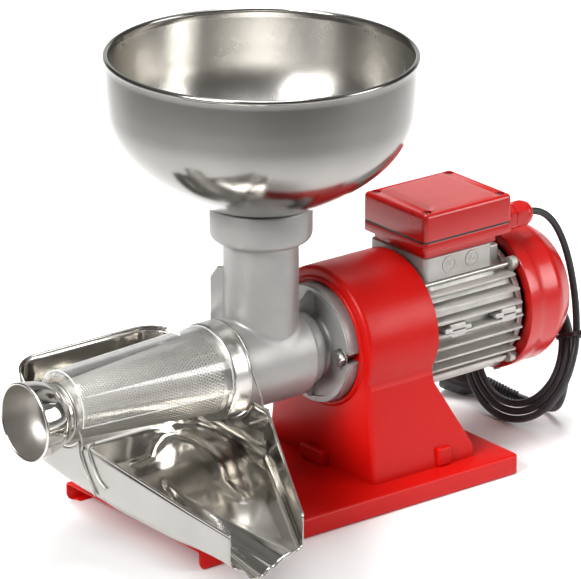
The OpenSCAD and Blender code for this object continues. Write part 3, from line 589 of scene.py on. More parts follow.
def tie_loop():
    b = Build()
    phi0 = -115.0
    outer = rrect(48.7, -5.9, 77.7, 12.2, 5.5, 8)
    inner = rrect(50.2, -4.5, 76.2, 10.8, 4.3, 8)
    er = (coil_pt(phi0, 1, 0) - coil_pt(phi0, 0, 0))
    eh = (coil_pt(phi0, 0, 1) - COIL_C)
    et = er.cross(eh)

    def pl(p, t):
        return tuple(COIL_C + er * p[0] + eh * p[1] + et * t)
    rings = []
    for t, oo in ((-2.0, 0.4), (-1.6, 0.0), (1.6, 0.0), (2.0, 0.4)):
        rings.append([pl((lerp(o[0], i[0], oo), lerp(o[1], i[1], oo)), t) for o, i in zip(outer, inner)])
    rings.append([pl(i, 2.0) for i in inner])
    rings.append([pl(i, -2.0) for i in inner])
    n = len(outer)
    b.put([q for r in rings for q in r], rings_faces(6, n) + [(5 * n + j, 5 * n + (j + 1) % n, (j + 1) % n, j) for j in range(n)])
    # head of the tie
    for (r0, r1, h0, h1, t0, t1) in ((76.6, 81.2, -2.0, 4.6, -2.6, 2.6),):
        b.put([pl((r, h), t) for t in (t0, t1) for r, h in ((r0, h0), (r1, h0), (r1, h1), (r0, h1))],
              [(3, 2, 1, 0), (4, 5, 6, 7), (0, 1, 5, 4), (1, 2, 6, 5), (2, 3, 7, 6), (3, 0, 4, 7)])
    o = b.done("cable_tie_strap", "black_plastic", "frame", replaces=("cable_tie",), smooth=40)
    mod_bevel(o, 0.5, 2, 60)
    return o


tie = tie_loop()


# ------------------------------------------------------------------ base
def base_plate():
    x1, yh, zt = 224.4, 100.8, 19.2
    q = [(9.0, 0.0), (6.5, 0.0), (3.0, 0.0)]
    steps = [(3 - 3 * math.cos(math.radians(a)), zt - 3 + 3 * math.sin(math.radians(a))) for a in (90, 70, 50, 30, 12, 0)]
    steps = [(3.0 - 3.0 * math.cos(math.radians(a)), zt - 3 + 3 * math.sin(math.radians(a))) for a in (90, 72, 54, 36, 18, 0)]
    steps += [(0.0, 12.0), (0.0, 7.0)]
    steps += [(2.6 - 2.6 * math.cos(math.radians(a)), 2.6 - 2.6 * math.sin(math.radians(a))) for a in (0, 22, 45, 67, 90)]
    steps += [(6.0, 0.0), (9.0, 0.0)]
    rings = []
    for i, z in steps:
        xs = -145.4 + (8 - math.sqrt(max(64 - (8 - z) ** 2, 0)) if z < 8 else 0) + (max(i - 2.6, 0) * 0.3 if z < 8 else 0)
        r = max(6.0 - i, 0.4)
        ring = [(xs, -yh + i, z), (xs + 40, -yh + i, z), (40, -yh + i, z)]
        ring += [(x, y, z) for x, y in arc(x1 - i - r, -yh + i + r, r, -90, 0, 6)]
        ring += [(x1 - i, 0.0, z)]
        ring += [(x, y, z) for x, y in arc(x1 - i - r, yh - i - r, r, 0, 90, 6)]
        ring += [(40, yh - i, z), (xs + 40, yh - i, z), (xs, yh - i, z)]
        rings.append(ring)
    b = Build()
    n = len(rings[0])
    faces = rings_faces(len(rings), n, closed=False)
    faces.append(tuple(range(n - 1, -1, -1)))
    b.put([p for r in rings for p in r], faces)
    o = b.done("base_plate_folded", "red_paint", "frame", replaces=("base_plate",), smooth=40)
    mod_solid(o, 2.0)
    mod_bevel(o, 0.5, 2, 60)
    return o


base_plate()


# ------------------------------------------------------------------ gear housing
def side_x(z):
    return interp(z, [(19.2, 188), (31, 187.5), (98, 147.5), (108, 146), (AZ, 151), (215, 151)])


def gear_housing():
    # half outline from the foot up to the top, then mirrored
    ctl = [(19.2, -78.0), (27, -77.2), (34, -76.3), (45, -75.0), (60, -73.0), (75, -71.2), (90, -69.4), (101, -67.8), (106, -67.4)]
    left = [(interp(z, ctl), z) for z in (19.2, 25, 31, 37.5, 45, 53, 61, 70, 74, 79, 85, 91.5, 98, 102, 106)]
    arcs = [(70 * math.cos(math.radians(a)), AZ + 70 * math.sin(math.radians(a))) for a in [201] + list(range(198, 89, -6))]
    half = left + [p for p in arcs if p[1] > 111]
    out = half + [(-y, z) for y, z in reversed(half[:-1])]
    n = len(out)
    # outline normals for the insets
    nor = []
    for i in range(n):
        a, c = out[max(i - 1, 0)], out[min(i + 1, n - 1)]
        d = Vector((c[0] - a[0], c[1] - a[1])).normalized()
        nor.append((d[1], -d[0]))
    b = Build()
    rings = []
    R = 4.5
    for a in (90, 75, 60, 45, 30, 15, 0):
        i = R - R * math.cos(math.radians(a))
        x = 70 + R - R * math.sin(math.radians(a))
        rings.append([(x, y + nor[k][0] * i, max(z + nor[k][1] * i, 19.2)) for k, (y, z) in enumerate(out)])
    for s in (0.25, 0.5, 0.75, 0.97, 1.0):
        rings.append([(lerp(70 + R, side_x(z), s), y, z) for y, z in out])
    fs = rings_faces(len(rings), n, closed=False)
    fs.append(tuple(range(n)))
    b.put([q for r in rings for q in r], fs)
    # rear wall below the motor, open where the motor sits
    rows = [(y, z) for y, z in half if z < 106.5]
    vs, ff = [], []
    for y, z in rows:
        ya = math.sqrt(66.7 ** 2 - (z - AZ) ** 2) if z > 70.01 else 0.0
        vs += [(side_x(z), y, z), (side_x(z), -ya, z), (side_x(z), ya, z), (side_x(z), -y, z)]
    for i in range(len(rows) - 1):
        k = i * 4
        for c in (0, 2):
            q = [k + c, k + c + 1, k + c + 5, k + c + 4]
            ff.append(tuple(q))
    b.put(vs, ff)
    o = b.done("gear_housing_shell", "red_paint", "frame", replaces=("gear_housing",), smooth=32, merge=0.02)
    mod_solid(o, 4.0)
    mod_bevel(o, 2.2, 4, 36)
    apply_mods(o, 40)
    me = o.data
    for ed in me.edges:
        p0, p1 = (me.vertices[k].co for k in ed.vertices)
        if abs(p0.z - 0.106) < 2e-4 and abs(p1.z - 0.106) < 2e-4 and abs(p0.y - p1.y) < 1e-3:
            ed.use_edge_sharp = True
    # raised lip round the flange
    prof = [(56.6, 70.6), (56.6, 68.6), (56.9, 67.9), (57.6, 67.5), (59.0, 67.5), (60.0, 67.8), (60.7, 68.5), (61.0, 69.4), (61.4, 70.4), (62.4, 70.8)]
    Build().rev(prof, n=128).done("gear_housing_lip", "red_paint", "frame", smooth=50)
    # cast lugs
    b = Build()
    b.box((60.5, -12.5, 19.2), (71.5, 18.5, 33))
    for s in (-1, 1):
        y0, y1 = (70, 81) if s > 0 else (-81, -70)
        b.box((144, y0, 19.2), (159, y1, 37))
    b.box((172, -8, 19.2), (190, 8, 28))
    o = b.done("gear_housing_lugs", "red_paint", "frame", smooth=40)
    mod_bevel(o, 1.8, 3, 50)
    # seat ring for the motor
    b = Build()
    seat = [(y, z) for y, z in out if z > 120]
    rings = [[(x, y * k, AZ + (z - AZ) * k) for y, z in seat] for x, k in ((126, 0.93), (126, 0.83), (130, 0.83), (130, 0.93))]
    b.loft(rings, closed=False)
    b.done("gear_housing_seat", "red_paint", "frame", smooth=40)
    return o


gear_housing()


# ------------------------------------------------------------------ cast body
def casting_R(x):
    return interp(x, [(31.0, 42.5), (33.0, 42.1), (34.6, 41.0), (35.6, 39.2), (36.6, 37.2), (38, 36.2), (39.5, 36.0), (46, 36.0)])


def body_casting():
    b = Build()
    n = 96
    front = [(37.0, -50.0), (37.0, -57.4), (37.6, -58.0), (41.8, -58.0), (42.35, -57.7), (42.5, -57.1), (42.5, -50.0), (42.5, -44.0)]
    mid = [(42.5, -42 + 2.5 * k) for k in range(1, 29)]
    back = [(casting_R(x), x) for x in (30.5, 31, 32, 33, 33.8, 34.6, 35.1, 35.6, 36.1, 36.6, 37.2, 38, 39.5, 42, 45.5)]
    end = [(35.7, 46.8), (34.9, 47.6), (33.6, 48.0), (30.6, 48.2), (29.2, 48.8), (28.4, 49.8), (28.0, 51.2), (28.0, 54.8), (28.5, 56.8), (29.6, 58.1), (31.4, 58.7)]
    prof = front + mid + back + end
    vs = []
    for r, x in prof:
        for j in range(n):
            a = 2 * PI * j / n
            vs.append((x, -r * math.sin(a), AZ + r * math.cos(a)))
    fs = []
    for f in rings_faces(len(prof), n):
        c = [sum(vs[i][m] for i in f) / 4 for m in range(3)]
        if c[2] > AZ and math.hypot(c[0], c[1]) < 31.5:
            continue
        fs.append(f)
    b.put(vs, fs)
    # bore and its end wall
    bore = [(37.0, -50.0)] + [(37.0, -48 + 2.5 * k) for k in range(31)] + [(36.9, 28.0), (30.0, 28.0), (22.0, 28.0), (17.5, 28.0), (17.5, 36)]
    vs = []
    for r, x in bore:
        for j in range(n):
            a = 2 * PI * j / n
            vs.append((x, -r * math.sin(a), AZ + r * math.cos(a)))
    fs = []
    for f in rings_faces(len(bore), n):
        c = [sum(vs[i][m] for i in f) / 4 for m in range(3)]
        if c[2] > AZ and math.hypot(c[0], c[1]) < 28.0 and c[0] < 27.5:
            continue
        fs.append(f)
    b.put(vs, fs)
    # neck with its fillet on the barrel, collar and inside of the neck
    rings = []
    rf = 3.4
    for t in (-0.08, 0.0, 0.12, 0.25, 0.38, 0.5, 0.63, 0.75, 0.88, 1.0):
        ring = []
        for j in range(n):
            a = 2 * PI * j / n
            r = 34 + rf * (1 - math.sin(PI * max(t, 0) / 2)) - min(t, 0) * 12
            dz = rf * (1 - math.cos(PI * max(t, 0) / 2)) + min(t, 0) * 6
            x, y = r * math.cos(a), r * math.sin(a)
            R = casting_R(x)
            ring.append((x, y, AZ + math.sqrt(max(R * R - y * y, 4.0)) + dz))
        rings.append(ring)
    top = [(34, 196), (34, 220), (34, 245.0), (34.3, 247.4), (35.2, 249.6), (36.8, 251.2), (38.8, 251.9), (40.4, 252.0), (42.2, 252.4), (43.8, 253.3), (45.1, 254.8), (45.9, 256.7), (46.3, 259.2),
           (46.3, 270), (46.3, 282.8), (46.0, 283.8), (45.2, 284.4), (44.2, 284.5), (41.6, 284.5), (41.0, 284.2), (40.9, 283.4), (40.9, 262.2), (40.6, 262.0), (29.8, 262.0), (29.0, 261.4), (29.0, 230), (29.0, 200), (29.0, AZ + 42)]
    for r, z in top:
        rings.append([(r * math.cos(2 * PI * j / n), r * math.sin(2 * PI * j / n), z) for j in range(n)])
    ring = []
    for j in range(n):
        a = 2 * PI * j / n
        x, y = 29.0 * math.cos(a), 29.0 * math.sin(a)
        ring.append((x, y, AZ + math.sqrt(37.0 ** 2 - y * y) - 0.2))
    rings.append(ring)
    b.loft(rings)
    o = b.done("body_casting_skin", "cast_alloy", "frame", replaces=("body_casting",), smooth=38, merge=0.01)
    # mounting flange with open slots
    def notched(r, rs):
        pts = []
        w = 4.5
        a0 = math.degrees(math.asin(w / r))
        for s in (1, -1):
            base = 0 if s > 0 else 180
            pts += arc(0, 0, r, base + a0, base + 180 - a0, 40)
            hole = arc(-44 * s, 0, w, 90 if s > 0 else -90, -90 if s > 0 else -270, 10)
            pts += hole
        return pts
    b = Build()
    out = notched(55.0, 44)
    b.slab(out, [], lambda y, z: (58.5, y, AZ + z), lambda y, z: (70.0, y, AZ + z))
    fl = b.done("body_flange", "cast_alloy", "frame", smooth=40)
    mod_bevel(fl, 0.9, 3, 50)
    b = Build()
    for a0, a1 in ((8, 172), (188, 352)):
        o1 = arc(0, 0, 54.3, a0, a1, 44)
        i1 = arc(0, 0, 49.2, a1, a0, 44)
        b.slab(o1 + i1, [], lambda y, z: (56.6, y, AZ + z), lambda y, z: (58.9, y, AZ + z))
    rim = b.done("body_flange_rim", "cast_alloy", "frame", smooth=40)
    mod_bevel(rim, 0.7, 3, 50)
    # webs from the barrel to the flange, and the cast rib behind the neck
    b = Build()
    w0 = [(33, AZ + 30), (59, AZ + 26), (59, 189), (55, 186.5), (50, 181.5), (44, 178.2), (36, 177.8), (33, 178.2)]
    b.slab(w0, [], lambda x, z: (x, -3.5, z), lambda x, z: (x, 3.5, z))
    w1 = [(33, AZ - 30), (59, AZ - 26), (59, 84.2), (55, 87), (50, 91.4), (44, 94.6), (36, 95.2), (33, 95.2)]
    b.slab(w1, [], lambda x, z: (x, -3.5, z), lambda x, z: (x, 3.5, z))
    c, s = math.cos(math.radians(135)), math.sin(math.radians(135))
    rib = [(30.5, AZ + 33.4), (37.5, AZ + 29.2), (44.6, AZ + 24.5), (45.3, AZ + 30), (45.3, AZ + 76), (39.5, AZ + 84.6), (30.5, AZ + 85)]
    b.slab(rib, [], lambda r, z: (r * c + 4 * s, r * s - 4 * c, z), lambda r, z: (r * c - 4 * s, r * s + 4 * c, z))
    wb = b.done("body_webs", "cast_alloy", "frame", smooth=40)
    mod_bevel(wb, 1.6, 3, 45)
    # spigot that enters the gear housing
    b = Build()
    b.rev([(30, 70.0), (39.0, 70.0), (40.0, 70.6), (40.0, 74.8), (39.3, 75.5), (20, 75.5), (14, 75.5), (14, 60)])
    b.done("body_spigot", "cast_alloy", "frame", smooth=40)


body_casting()


def hexbolt(b, x0, x1, r, y, z, d=1, mi=0):
    """Hexagon head along X from x0 to x1, chamfered at x0."""
    n = 48
    rings = []
    for x, cr in ((x1, None), (lerp(x1, x0, 0.5), None), (lerp(x1, x0, 0.82), 0.985), (x0, 0.86)):
        ring = []
        for j in range(n):
            a = 2 * PI * j / n
            h = r * math.cos(PI / 6) / math.cos(((a + 1e-9) % (PI / 3)) - PI / 6)
            if cr is not None:
                h = min(h, r * cr)
            ring.append((x, y + h * math.cos(a), z + h * math.sin(a)))
        rings.append(ring)
    rings.append([(x0 - 0.0 + 0.15 * d, y + r * 0.45 * math.cos(2 * PI * j / n), z + r * 0.45 * math.sin(2 * PI * j / n)) for j in range(n)])
    b.put([q for g in rings for q in g], rings_faces(len(rings), n, True, True, True), mi)


b = Build()
for s in (-1, 1):
    hexbolt(b, 50.6, 56.0, 7.5, s * 44, AZ)
    b.rev([(0.3, 56.0), (3.3, 56.0), (3.3, 85.0), (2.5, 86.0), (0.3, 86.0)], c=(0, s * 44, AZ), n=32)
b.done("flange_bolt_pair", "zinc_steel", "frame", replaces=("flange_bolts",), smooth=30)
b = Build()
for s in (-1, 1):
    b.rev([(4.2, 57.0), (7.6, 56.9), (8.0, 57.2), (8.0, 58.2), (7.6, 58.5), (4.2, 58.5), (4.2, 57.0)], c=(0, s * 44, AZ), n=48)
b.done("flange_washer_pair", "zinc_steel", "frame", replaces=("flange_washers",), smooth=40)


# ------------------------------------------------------------------ hopper
BOWL = [(47.5, 286.4), (59, 291), (73.6, 298.4), (88, 307), (101.4, 316.4), (113.6, 327), (123.6, 338.6), (131, 351.5), (135.4, 366), (137, 384), (137.7, 400), (138.1, 416)]


def hopper():
    t = 1.2
    cv = catmull(BOWL, 5)
    outer = [(39.6, 262.3), (40.5, 262.6), (40.6, 263.4), (40.6, 283.8), (41.0, 284.9), (42.2, 285.4), (44.6, 285.7)] + cv
    nor = []
    for i, (r, z) in enumerate(cv):
        a, c = cv[max(i - 1, 0)], cv[min(i + 1, len(cv) - 1)]
        d = Vector((c[0] - a[0], c[1] - a[1])).normalized()
        nor.append((-d[1], d[0]))
    inner = [(r + nx * t, z + nz * t) for (r, z), (nx, nz) in zip(cv, nor)]
    bead = [(137.6 + 2.4 * math.cos(math.radians(a)), 421.6 + 2.4 * math.sin(math.radians(a))) for a in range(-62, 243, 16)]
    prof_in = list(reversed(inner)) + [(43.6, 287.2), (41.2, 286.6), (39.8, 285.2), (39.4, 283.0), (39.4, 262.6), (39.6, 262.3)]
    b = Build()
    b.rev(outer + bead[:1], axis="z", n=160, mi=0)
    b.rev(bead + [prof_in[0]], axis="z", n=160, mi=0)
    b.rev(prof_in, axis="z", n=160, mi=1)
    # outside faces take the darkened steel (painted dark reflection), inside faces the lighter steel
    o = b.done("hopper_bowl_spun", "satin_steel", "hopper", replaces=("hopper_bowl",), mats=["bowl_outside_painted_shade", "bowl_inside"], smooth=40, merge=0.005)
    return o


hopper()


# ------------------------------------------------------------------ strainer
def cone_outer(x):
    return 37.5 - (-62.2 - x) / 160.4 * (37.5 - 25.2)


def strainer_cone():
    N, x0, x1 = 72, -70.5, -214.5
    rows = 53
    dx = (x1 - x0) / rows
    vid, vs, fs = {}, [], []

    def vert(u, v):
        key = (round(u * 2) % (2 * N), round(v * 3))
        if key not in vid:
            vid[key] = len(vs)
            x = x0 + v * dx
            a = 2 * PI * u / N
            r = cone_outer(x)
            vs.append((x, r * math.sin(a), AZ + r * math.cos(a)))
        return vid[key]

    cell = [(0, 2 / 3), (0.5, 1 / 3), (0.5, -1 / 3), (0, -2 / 3), (-0.5, -1 / 3), (-0.5, 1 / 3)]
    for j in range(rows):
        xc = x0 + j * dx
        col = 2 * PI * cone_outer(xc) / N
        rh = 0.31 * col
        for i in range(N):
            u = i + 0.5 * (j % 2)
            ring = [vert(u + du, j + dv) for du, dv in cell]
            hole = []
            for k in range(6):
                al = PI * k / 3
                uu, vv = u + rh * math.sin(al) / col, j + rh * math.cos(al) / abs(dx)
                x = x0 + vv * dx
                a = 2 * PI * uu / N
                r = cone_outer(x)
                hole.append(len(vs))
                vs.append((x, r * math.sin(a), AZ + r * math.cos(a)))
            for k in range(6):
                m = (k + 1) % 6
                fs.append((ring[k], ring[m], hole[m], hole[k]))
    nn = 2 * N

    def zig(v_lo, v_hi, even_at):
        ids = []
        for h in range(nn):
            u = h / 2
            ids.append(vert(u, v_lo if (h % 2) == even_at else v_hi))
        return ids

    first = zig(-2 / 3, -1 / 3, 0)
    last = zig(rows - 1 + 2 / 3, rows - 1 + 1 / 3, 1 if (rows - 1) % 2 else 0)

    def band(start, prof):
        prev = start
        for r, x in prof:
            ids = []
            for h in range(nn):
                a = 2 * PI * (h / 2) / N
                ids.append(len(vs))
                vs.append((x, r * math.sin(a), AZ + r * math.cos(a)))
            for h in range(nn):
                k = (h + 1) % nn
                fs.append((prev[h], prev[k], ids[k], ids[h]))
            prev = ids
    band(first, [(cone_outer(-69.0), -69.0), (cone_outer(-65), -65.0), (37.7, -62.9), (38.4, -62.2), (41.4, -62.1)])
    band(last, [(cone_outer(-216.0), -216.0), (cone_outer(-220), -220.0), (25.3, -222.8), (25.7, -223.6), (26.5, -224.0), (26.5, -225.1)])
    me = make("strainer_cone_perforated", vs, fs, "satin_steel", "strainer", replaces=("strainer_cone",), smooth=50)
    mod_solid(me, 0.8)
    # lap seam along the underside
    b = Build()
    a0 = math.radians(206)
    rings = []
    for x in [-66 - 8 * k for k in range(20)]:
        r = cone_outer(x)
        ring = []
        for da, dr in ((-0.075, 0.05), (-0.06, 0.5), (0.06, 0.5), (0.075, 0.05)):
            a = a0 + da * 31 / r
            ring.append((x, -(r + dr) * math.sin(a), AZ + (r + dr) * math.cos(a)))
        rings.append(ring)
    b.loft(rings, closed=False)
    o = b.done("strainer_seam", "satin_steel", "strainer", smooth=40)
    mod_solid(o, 0.3)


strainer_cone()


def strainer_ring():
    n = 144
    prof = [(37.6, -62.3), (37.6, -63.4), (42.6, -63.5), (43.7, -63.4), (44.4, -63.0), (44.8, -62.3), (44.9, -61.2), (44.9, -58), (44.9, -54), (44.9, -52), (44.9, -50), (44.9, -48), (44.9, -46.4), (45.2, -45.6), (45.1, -44.9), (44.5, -44.7), (43.3, -44.9),
            (43.2, -46), (43.2, -61.4), (42.4, -62.2), (37.6, -62.3)]
    vs = []
    for k, (r, x) in enumerate(prof):
        for j in range(n):
            a = 2 * PI * j / n  # from +Z towards -Y
            deg = math.degrees(a)
            rr, xx = r, x
            if 7 <= k <= 16:
                e = abs(deg - 40) / 7.0
                g = math.exp(-e * e) * math.exp(-((x + 50.5) / 3.0) ** 2)
                e2 = abs(deg - 220) / 7.0
                g += math.exp(-e2 * e2) * math.exp(-((x + 50.5) / 3.0) ** 2)
                rr += 1.3 * g
            vs.append((xx, -rr * math.sin(a), AZ + rr * math.cos(a)))
    b = Build().put(vs, rings_faces(len(prof), n))
    b.done("strainer_ring_rolled", "ring_steel", "strainer", replaces=("strainer_ring",), smooth=45, merge=0.002)


strainer_ring()


def bell():
    out = catmull([(24.0, -212), (24.0, -218), (24.0, -224.4)], 3)
    out += [(24.6, -225.2), (25.6, -225.3), (25.9, -225.8)]
    out += catmull([(25.7, -227.2), (26.3, -229.3), (29.1, -232.7), (31.5, -237), (33.2, -242), (34.3, -248), (34.9, -254), (35.2, -258.2)], 5)
    lip = [(34.9 + 1.2 * math.cos(math.radians(a)), -259.6 + 1.2 * math.sin(math.radians(a))) for a in range(60, -200, -20)]
    inn = catmull([(34.2, -259.2), (34.0, -255), (33.3, -248), (32.2, -242.4), (30.6, -237.6), (28.2, -233.7), (25.2, -230.2), (23.6, -227.6), (23.1, -224), (23.0, -212)], 5)
    b = Build().rev(out + lip, n=128, mi=0).rev([lip[-1]] + inn, n=128, mi=1)
    b.done("waste_bell_spun", "polished_steel", "strainer", replaces=("waste_bell",), mats=["polished_steel", "bell_inside"], smooth=50, merge=0.002)


bell()


# ------------------------------------------------------------------ clear cover
def splash_guard():
    tl = math.tan(math.radians(1.96))

    def zc(x):
        return 134.8 - x * tl

    def Rg(x):
        return lerp(45.2, 32.2, (-40 - x) / 186.0) - 0.15
    T = 1.8
    nx, na = 30, 72
    xs = [lerp(-219.6, -64.0, i / nx) for i in range(nx + 1)]

    def span(x, R):
        a0 = math.degrees(math.asin(clamp((131.0 - zc(x)) / R, -1, 1)))
        return a0, 180 - a0

    def ringpts(x, R):
        a0, a1 = span(x, R)
        return [(x, R * math.cos(math.radians(lerp(a0, a1, k / na))), zc(x) + R * math.sin(math.radians(lerp(a0, a1, k / na)))) for k in range(na + 1)]

    outer = [ringpts(x, Rg(x)) for x in xs]
    inner = [ringpts(clamp(x, -217.8, -65.8), Rg(clamp(x, -217.8, -65.8)) - T) for x in xs]

    def to_cut(x, rc, zcut, pts):
        res = []
        for (px, y, z) in pts:
            dy, dz = y, z - zc(x)
            L = math.hypot(dy, dz)
            lo, hi = 0.0, 1.0
            for _ in range(30):
                mid = (lo + hi) / 2
                yy, zz = dy * mid, zc(x) + dz * mid
                inside = (math.hypot(yy, zz - zcut) < rc) if zz >= zcut else abs(yy) < rc
                if inside:
                    lo = mid
                else:
                    hi = mid
            t = max(lo, 0.02)
            res.append((px, dy * t, max(zc(x) + dz * t, 131.0)))
        return res

    b = Build()
    # one closed skin: outside, small end wall, inside, large end wall
    e0 = to_cut(-219.6, 27.0, 142.4, outer[0])
    e0i = [(-217.8, y, z) for _, y, z in e0]
    e1 = to_cut(-64.0, 37.6, AZ, outer[-1])
    e1i = [(-65.8, y, z) for _, y, z in e1]
    seq = [e0i, e0] + outer + [e1, e1i]
    innr = inner[1:-1]
    seq += list(reversed(innr))
    n = na + 1
    fs = rings_faces(len(seq), n, closed=False)
    k = len(seq) - 1
    fs += [(k * n + j, k * n + j + 1, j + 1, j) for j in range(n - 1)]
    # lower edges
    m = len(outer)
    for side in (0, n - 1):
        lo = [(2 + i) * n + side for i in range(m)]
        li = [1 * n + side, 0 * n + side] + [(len(seq) - 1 - i) * n + side for i in range(len(innr))] + [(2 + m + 1) * n + side, (2 + m) * n + side]
        # strip between the outer and inner edges
        a = lo
        c = [0 * n + side] + [(len(seq) - 1 - i) * n + side for i in range(len(innr))] + [(2 + m + 1) * n + side]
        for i in range(len(a) - 1):
            fs.append((a[i], a[i + 1], c[i + 1], c[i]) if i < len(c) - 1 else (a[i], a[i + 1], c[-1]))
        fs.append((1 * n + side, 2 * n + side, 0 * n + side))
        fs.append(((2 + m - 1) * n + side, (2 + m) * n + side, (2 + m + 1) * n + side))
    b.put([q for r in seq for q in r], fs)
    o = b.done("splash_guard_moulded", "clear_plastic", "guard", replaces=("splash_guard",), smooth=40)
    # the rounded edges of the moulding, drawn in a whitish half-opaque colour that paints the bright highlight lines
    # along the clear plastic's edges
    tube("splash_guard_edge_front", outer[0], 0.55, "clear_edge_painted_highlight", "guard", res=3)
    tube("splash_guard_edge_back", outer[-1], 0.6, "clear_edge_painted_highlight", "guard", res=3)
    for k, nm in ((0, "a"), (-1, "b")):
        tube("splash_guard_edge_low_" + nm, [r[k] for r in outer], 0.6, "clear_edge_painted_highlight", "guard", res=3)
    return o


splash_guard()


# ------------------------------------------------------------------ drip tray
TOP = [(-250, 100.4), (-185, 104.4), (-85, 112.8), (-23, 118), (19, 132), (52, 143.4), (64, 152), (90, 156)]
FLOOR = [(-262, 69), (-85, 69), (-3, 74), (35, 79), (60, 90), (90, 112)]
TX0, TX1 = -220.3, -41.0
VP = [(-219.6, 72.4), (-214, 71.2), (-207.9, 67.6), (-202.6, 60.7), (-197, 57.0), (-191.9, 55.2), (-184.4, 56.6), (-177, 60.2), (-170.5, 63.1), (-161.9, 67.3), (-153.2, 69.4), (-146, 69.2), (-140, 69.0)]
RIDGE1 = [(-148, -12), (-130, -8), (-112, 8), (-95, 18), (-84, 15), (-77, 4), (-76, -8), (-78, -19), (-82, -39), (-92, -60), (-105, -80), (-112, -103), (-116, -125)]
RIDGE2 = [(-78, 34), (-60, 27), (-50, 5), (-47, -22), (-52, -42), (-57, -58), (-61, -85), (-74, -118), (-90, -148)]


def seg_dist(p, line):
    best = 1e9
    for a, c in zip(line, line[1:]):
        dx, dy = c[0] - a[0], c[1] - a[1]
        t = clamp(((p[0] - a[0]) * dx + (p[1] - a[1]) * dy) / (dx * dx + dy * dy))
        best = min(best, math.hypot(p[0] - a[0] - dx * t, p[1] - a[1] - dy * t))
    return best


def floor_z(x, y):
    z = interp(y, FLOOR)
    u = clamp((-47.5 - y) / 194.1)
    if u > 0:
        w = 0.12 + 0.88 * u ** 1.5
        v = interp(-191.9 + (x - lerp(-147.0, -191.9, u ** 0.8)) / w, VP) - 69.2
        z += (v * (0.50 + 0.50 * u) if v < 0 else v * smoothstep((-150 - y) / 60)) * smoothstep(u / 0.10)
        q = (x - lerp(-147.0, -191.9, u ** 0.8)) / w
        z += 0.85 * math.cos(2 * PI * q / 13.0) * smoothstep((u - 0.5) / 0.4) * smoothstep((30 - abs(q)) / 12) * smoothstep(abs(q) / 6)
    for line, h, w in ((RIDGE1, 1.5, 4.4), (RIDGE2, 1.2, 4.2)):
        d = seg_dist((x, y), line)
        if d < 12:
            z += h * math.exp(-(d / w) ** 2)
    return z


def tray():
    ys = [-241.6 + 3.02 * k for k in range(97)]
    ys = [y for y in ys if y < 50.5] + [52 + 36 * math.sin(math.radians(a)) for a in (0, 6, 12, 18, 24, 30, 36, 42, 48, 54, 60, 66, 72, 77, 82, 86, 90)]
    NF, NW, RF = 62, 7, 7.0

    def ends(y):
        if y > 52:
            d = math.sqrt(max(36 ** 2 - (y - 52) ** 2, 0))
            return TX0 + 36 - d, TX1 - 36 + d
        if y >= -63:
            return TX0, TX1
        k = (-63 - y) / 179.0
        return TX0, lerp(TX1, -142.5, k)

    rows = []
    for y in ys:
        xl, xr = ends(y)
        zt = interp(y, TOP)
        ztl = min(zt, 142.4 - math.sqrt(35.0 ** 2 - y * y)) if abs(y) < 35 else zt
        ztr = min(zt, AZ - math.sqrt(46.5 ** 2 - y * y)) if abs(y) < 46.5 else zt
        row = []
        zl = floor_z(xl + RF, y) + RF
        zr = floor_z(xr - RF, y) + RF
        for k in range(NW):
            row.append((xl, y, lerp(ztl, zl, k / NW)))
        for a in (0, 18, 36, 54, 72):
            row.append((xl + RF - RF * math.cos(math.radians(a)), y, zl - RF * math.sin(math.radians(a))))
        for k in range(NF + 1):
            x = lerp(xl + RF, xr - RF, k / NF)
            row.append((x, y, floor_z(x, y)))
        for a in (72, 54, 36, 18, 0):
            row.append((xr - RF + RF * math.cos(math.radians(a)), y, zr - RF * math.sin(math.radians(a))))
        for k in range(1, NW + 1):
            row.append((xr, y, lerp(zr, ztr, k / NW)))
        rows.append(row)
    n = len(rows[0])
    b = Build()
    b.put([q for r in rows for q in r], rings_faces(len(rows), n, closed=False))
    # flat back wall
    last = rows[-1]
    zt = last[0][2]
    cols = [0] + list(range(NW, n - NW)) + [n - 1]
    wall = []
    for k in range(NW + 1):
        wr = [last[k]] + [(last[j][0], 88.0, lerp(zt, last[j][2], k / NW)) for j in range(NW, n - NW)] + [last[n - 1 - k]]
        wall.append(wr)
    b.put([q for r in wall for q in r], rings_faces(len(wall), len(wall[0]), closed=False))
    o = b.done("drip_tray_pressed", "tray_steel", "tray", replaces=("drip_tray",), smooth=60, merge=0.02, mats=["tray_outer", "tray_steel"])
    mod_solid(o, 1.0, offset=0.0).material_offset = 1
    # hem along the upper edge
    left = [(r[0][0], r[0][1], r[0][2]) for r in rows]
    right = [(r[-1][0], r[-1][1], r[-1][2]) for r in rows]
    back = [(lerp(left[-1][0], right[-1][0], k / 12), 88.0, zt) for k in range(1, 12)]
    hem = [(x, max(y, -240.9), z) for x, y, z in left + back + list(reversed(right))]
    tube("drip_tray_hem", hem, 1.2, "tray_steel", "tray", res=3)
    # folded flange outside the rear wall
    b = Build()
    rings = []
    for r in rows:
        x, y, z = r[-1]
        if y < -64 or y > -46:
            continue
        w = 7.0 * smoothstep((y + 64) / 8) * smoothstep((-45 - y) / 4)
        if abs(y + 54.5) < 3.5:
            w = min(w, 0.6)
        rings.append([(x, y, z + 0.4), (x + 0.55 * w, y, z + 0.25), (x + w * 0.92, y, z - 0.1), (x + w, y, z - 1.6)])
    b.loft(rings, closed=False)
    fl = b.done("drip_tray_flange", "tray_steel", "tray", smooth=50)
    mod_solid(fl, 0.8, offset=0.0)


tray()


# ------------------------------------------------------------------ hangers
def loop_pts(x, r, yl, zl, d):
    p = [(x + q[0], -yl + q[1], zl + q[2]) for q in d]
    p += [(x, r * math.cos(math.radians(a)), AZ + r * math.sin(math.radians(a))) for a in [190 - 10 * k for k in range(21)]]
    p += [(x + q[0], yl - q[1], zl + q[2]) for q in reversed(d)]
    return p


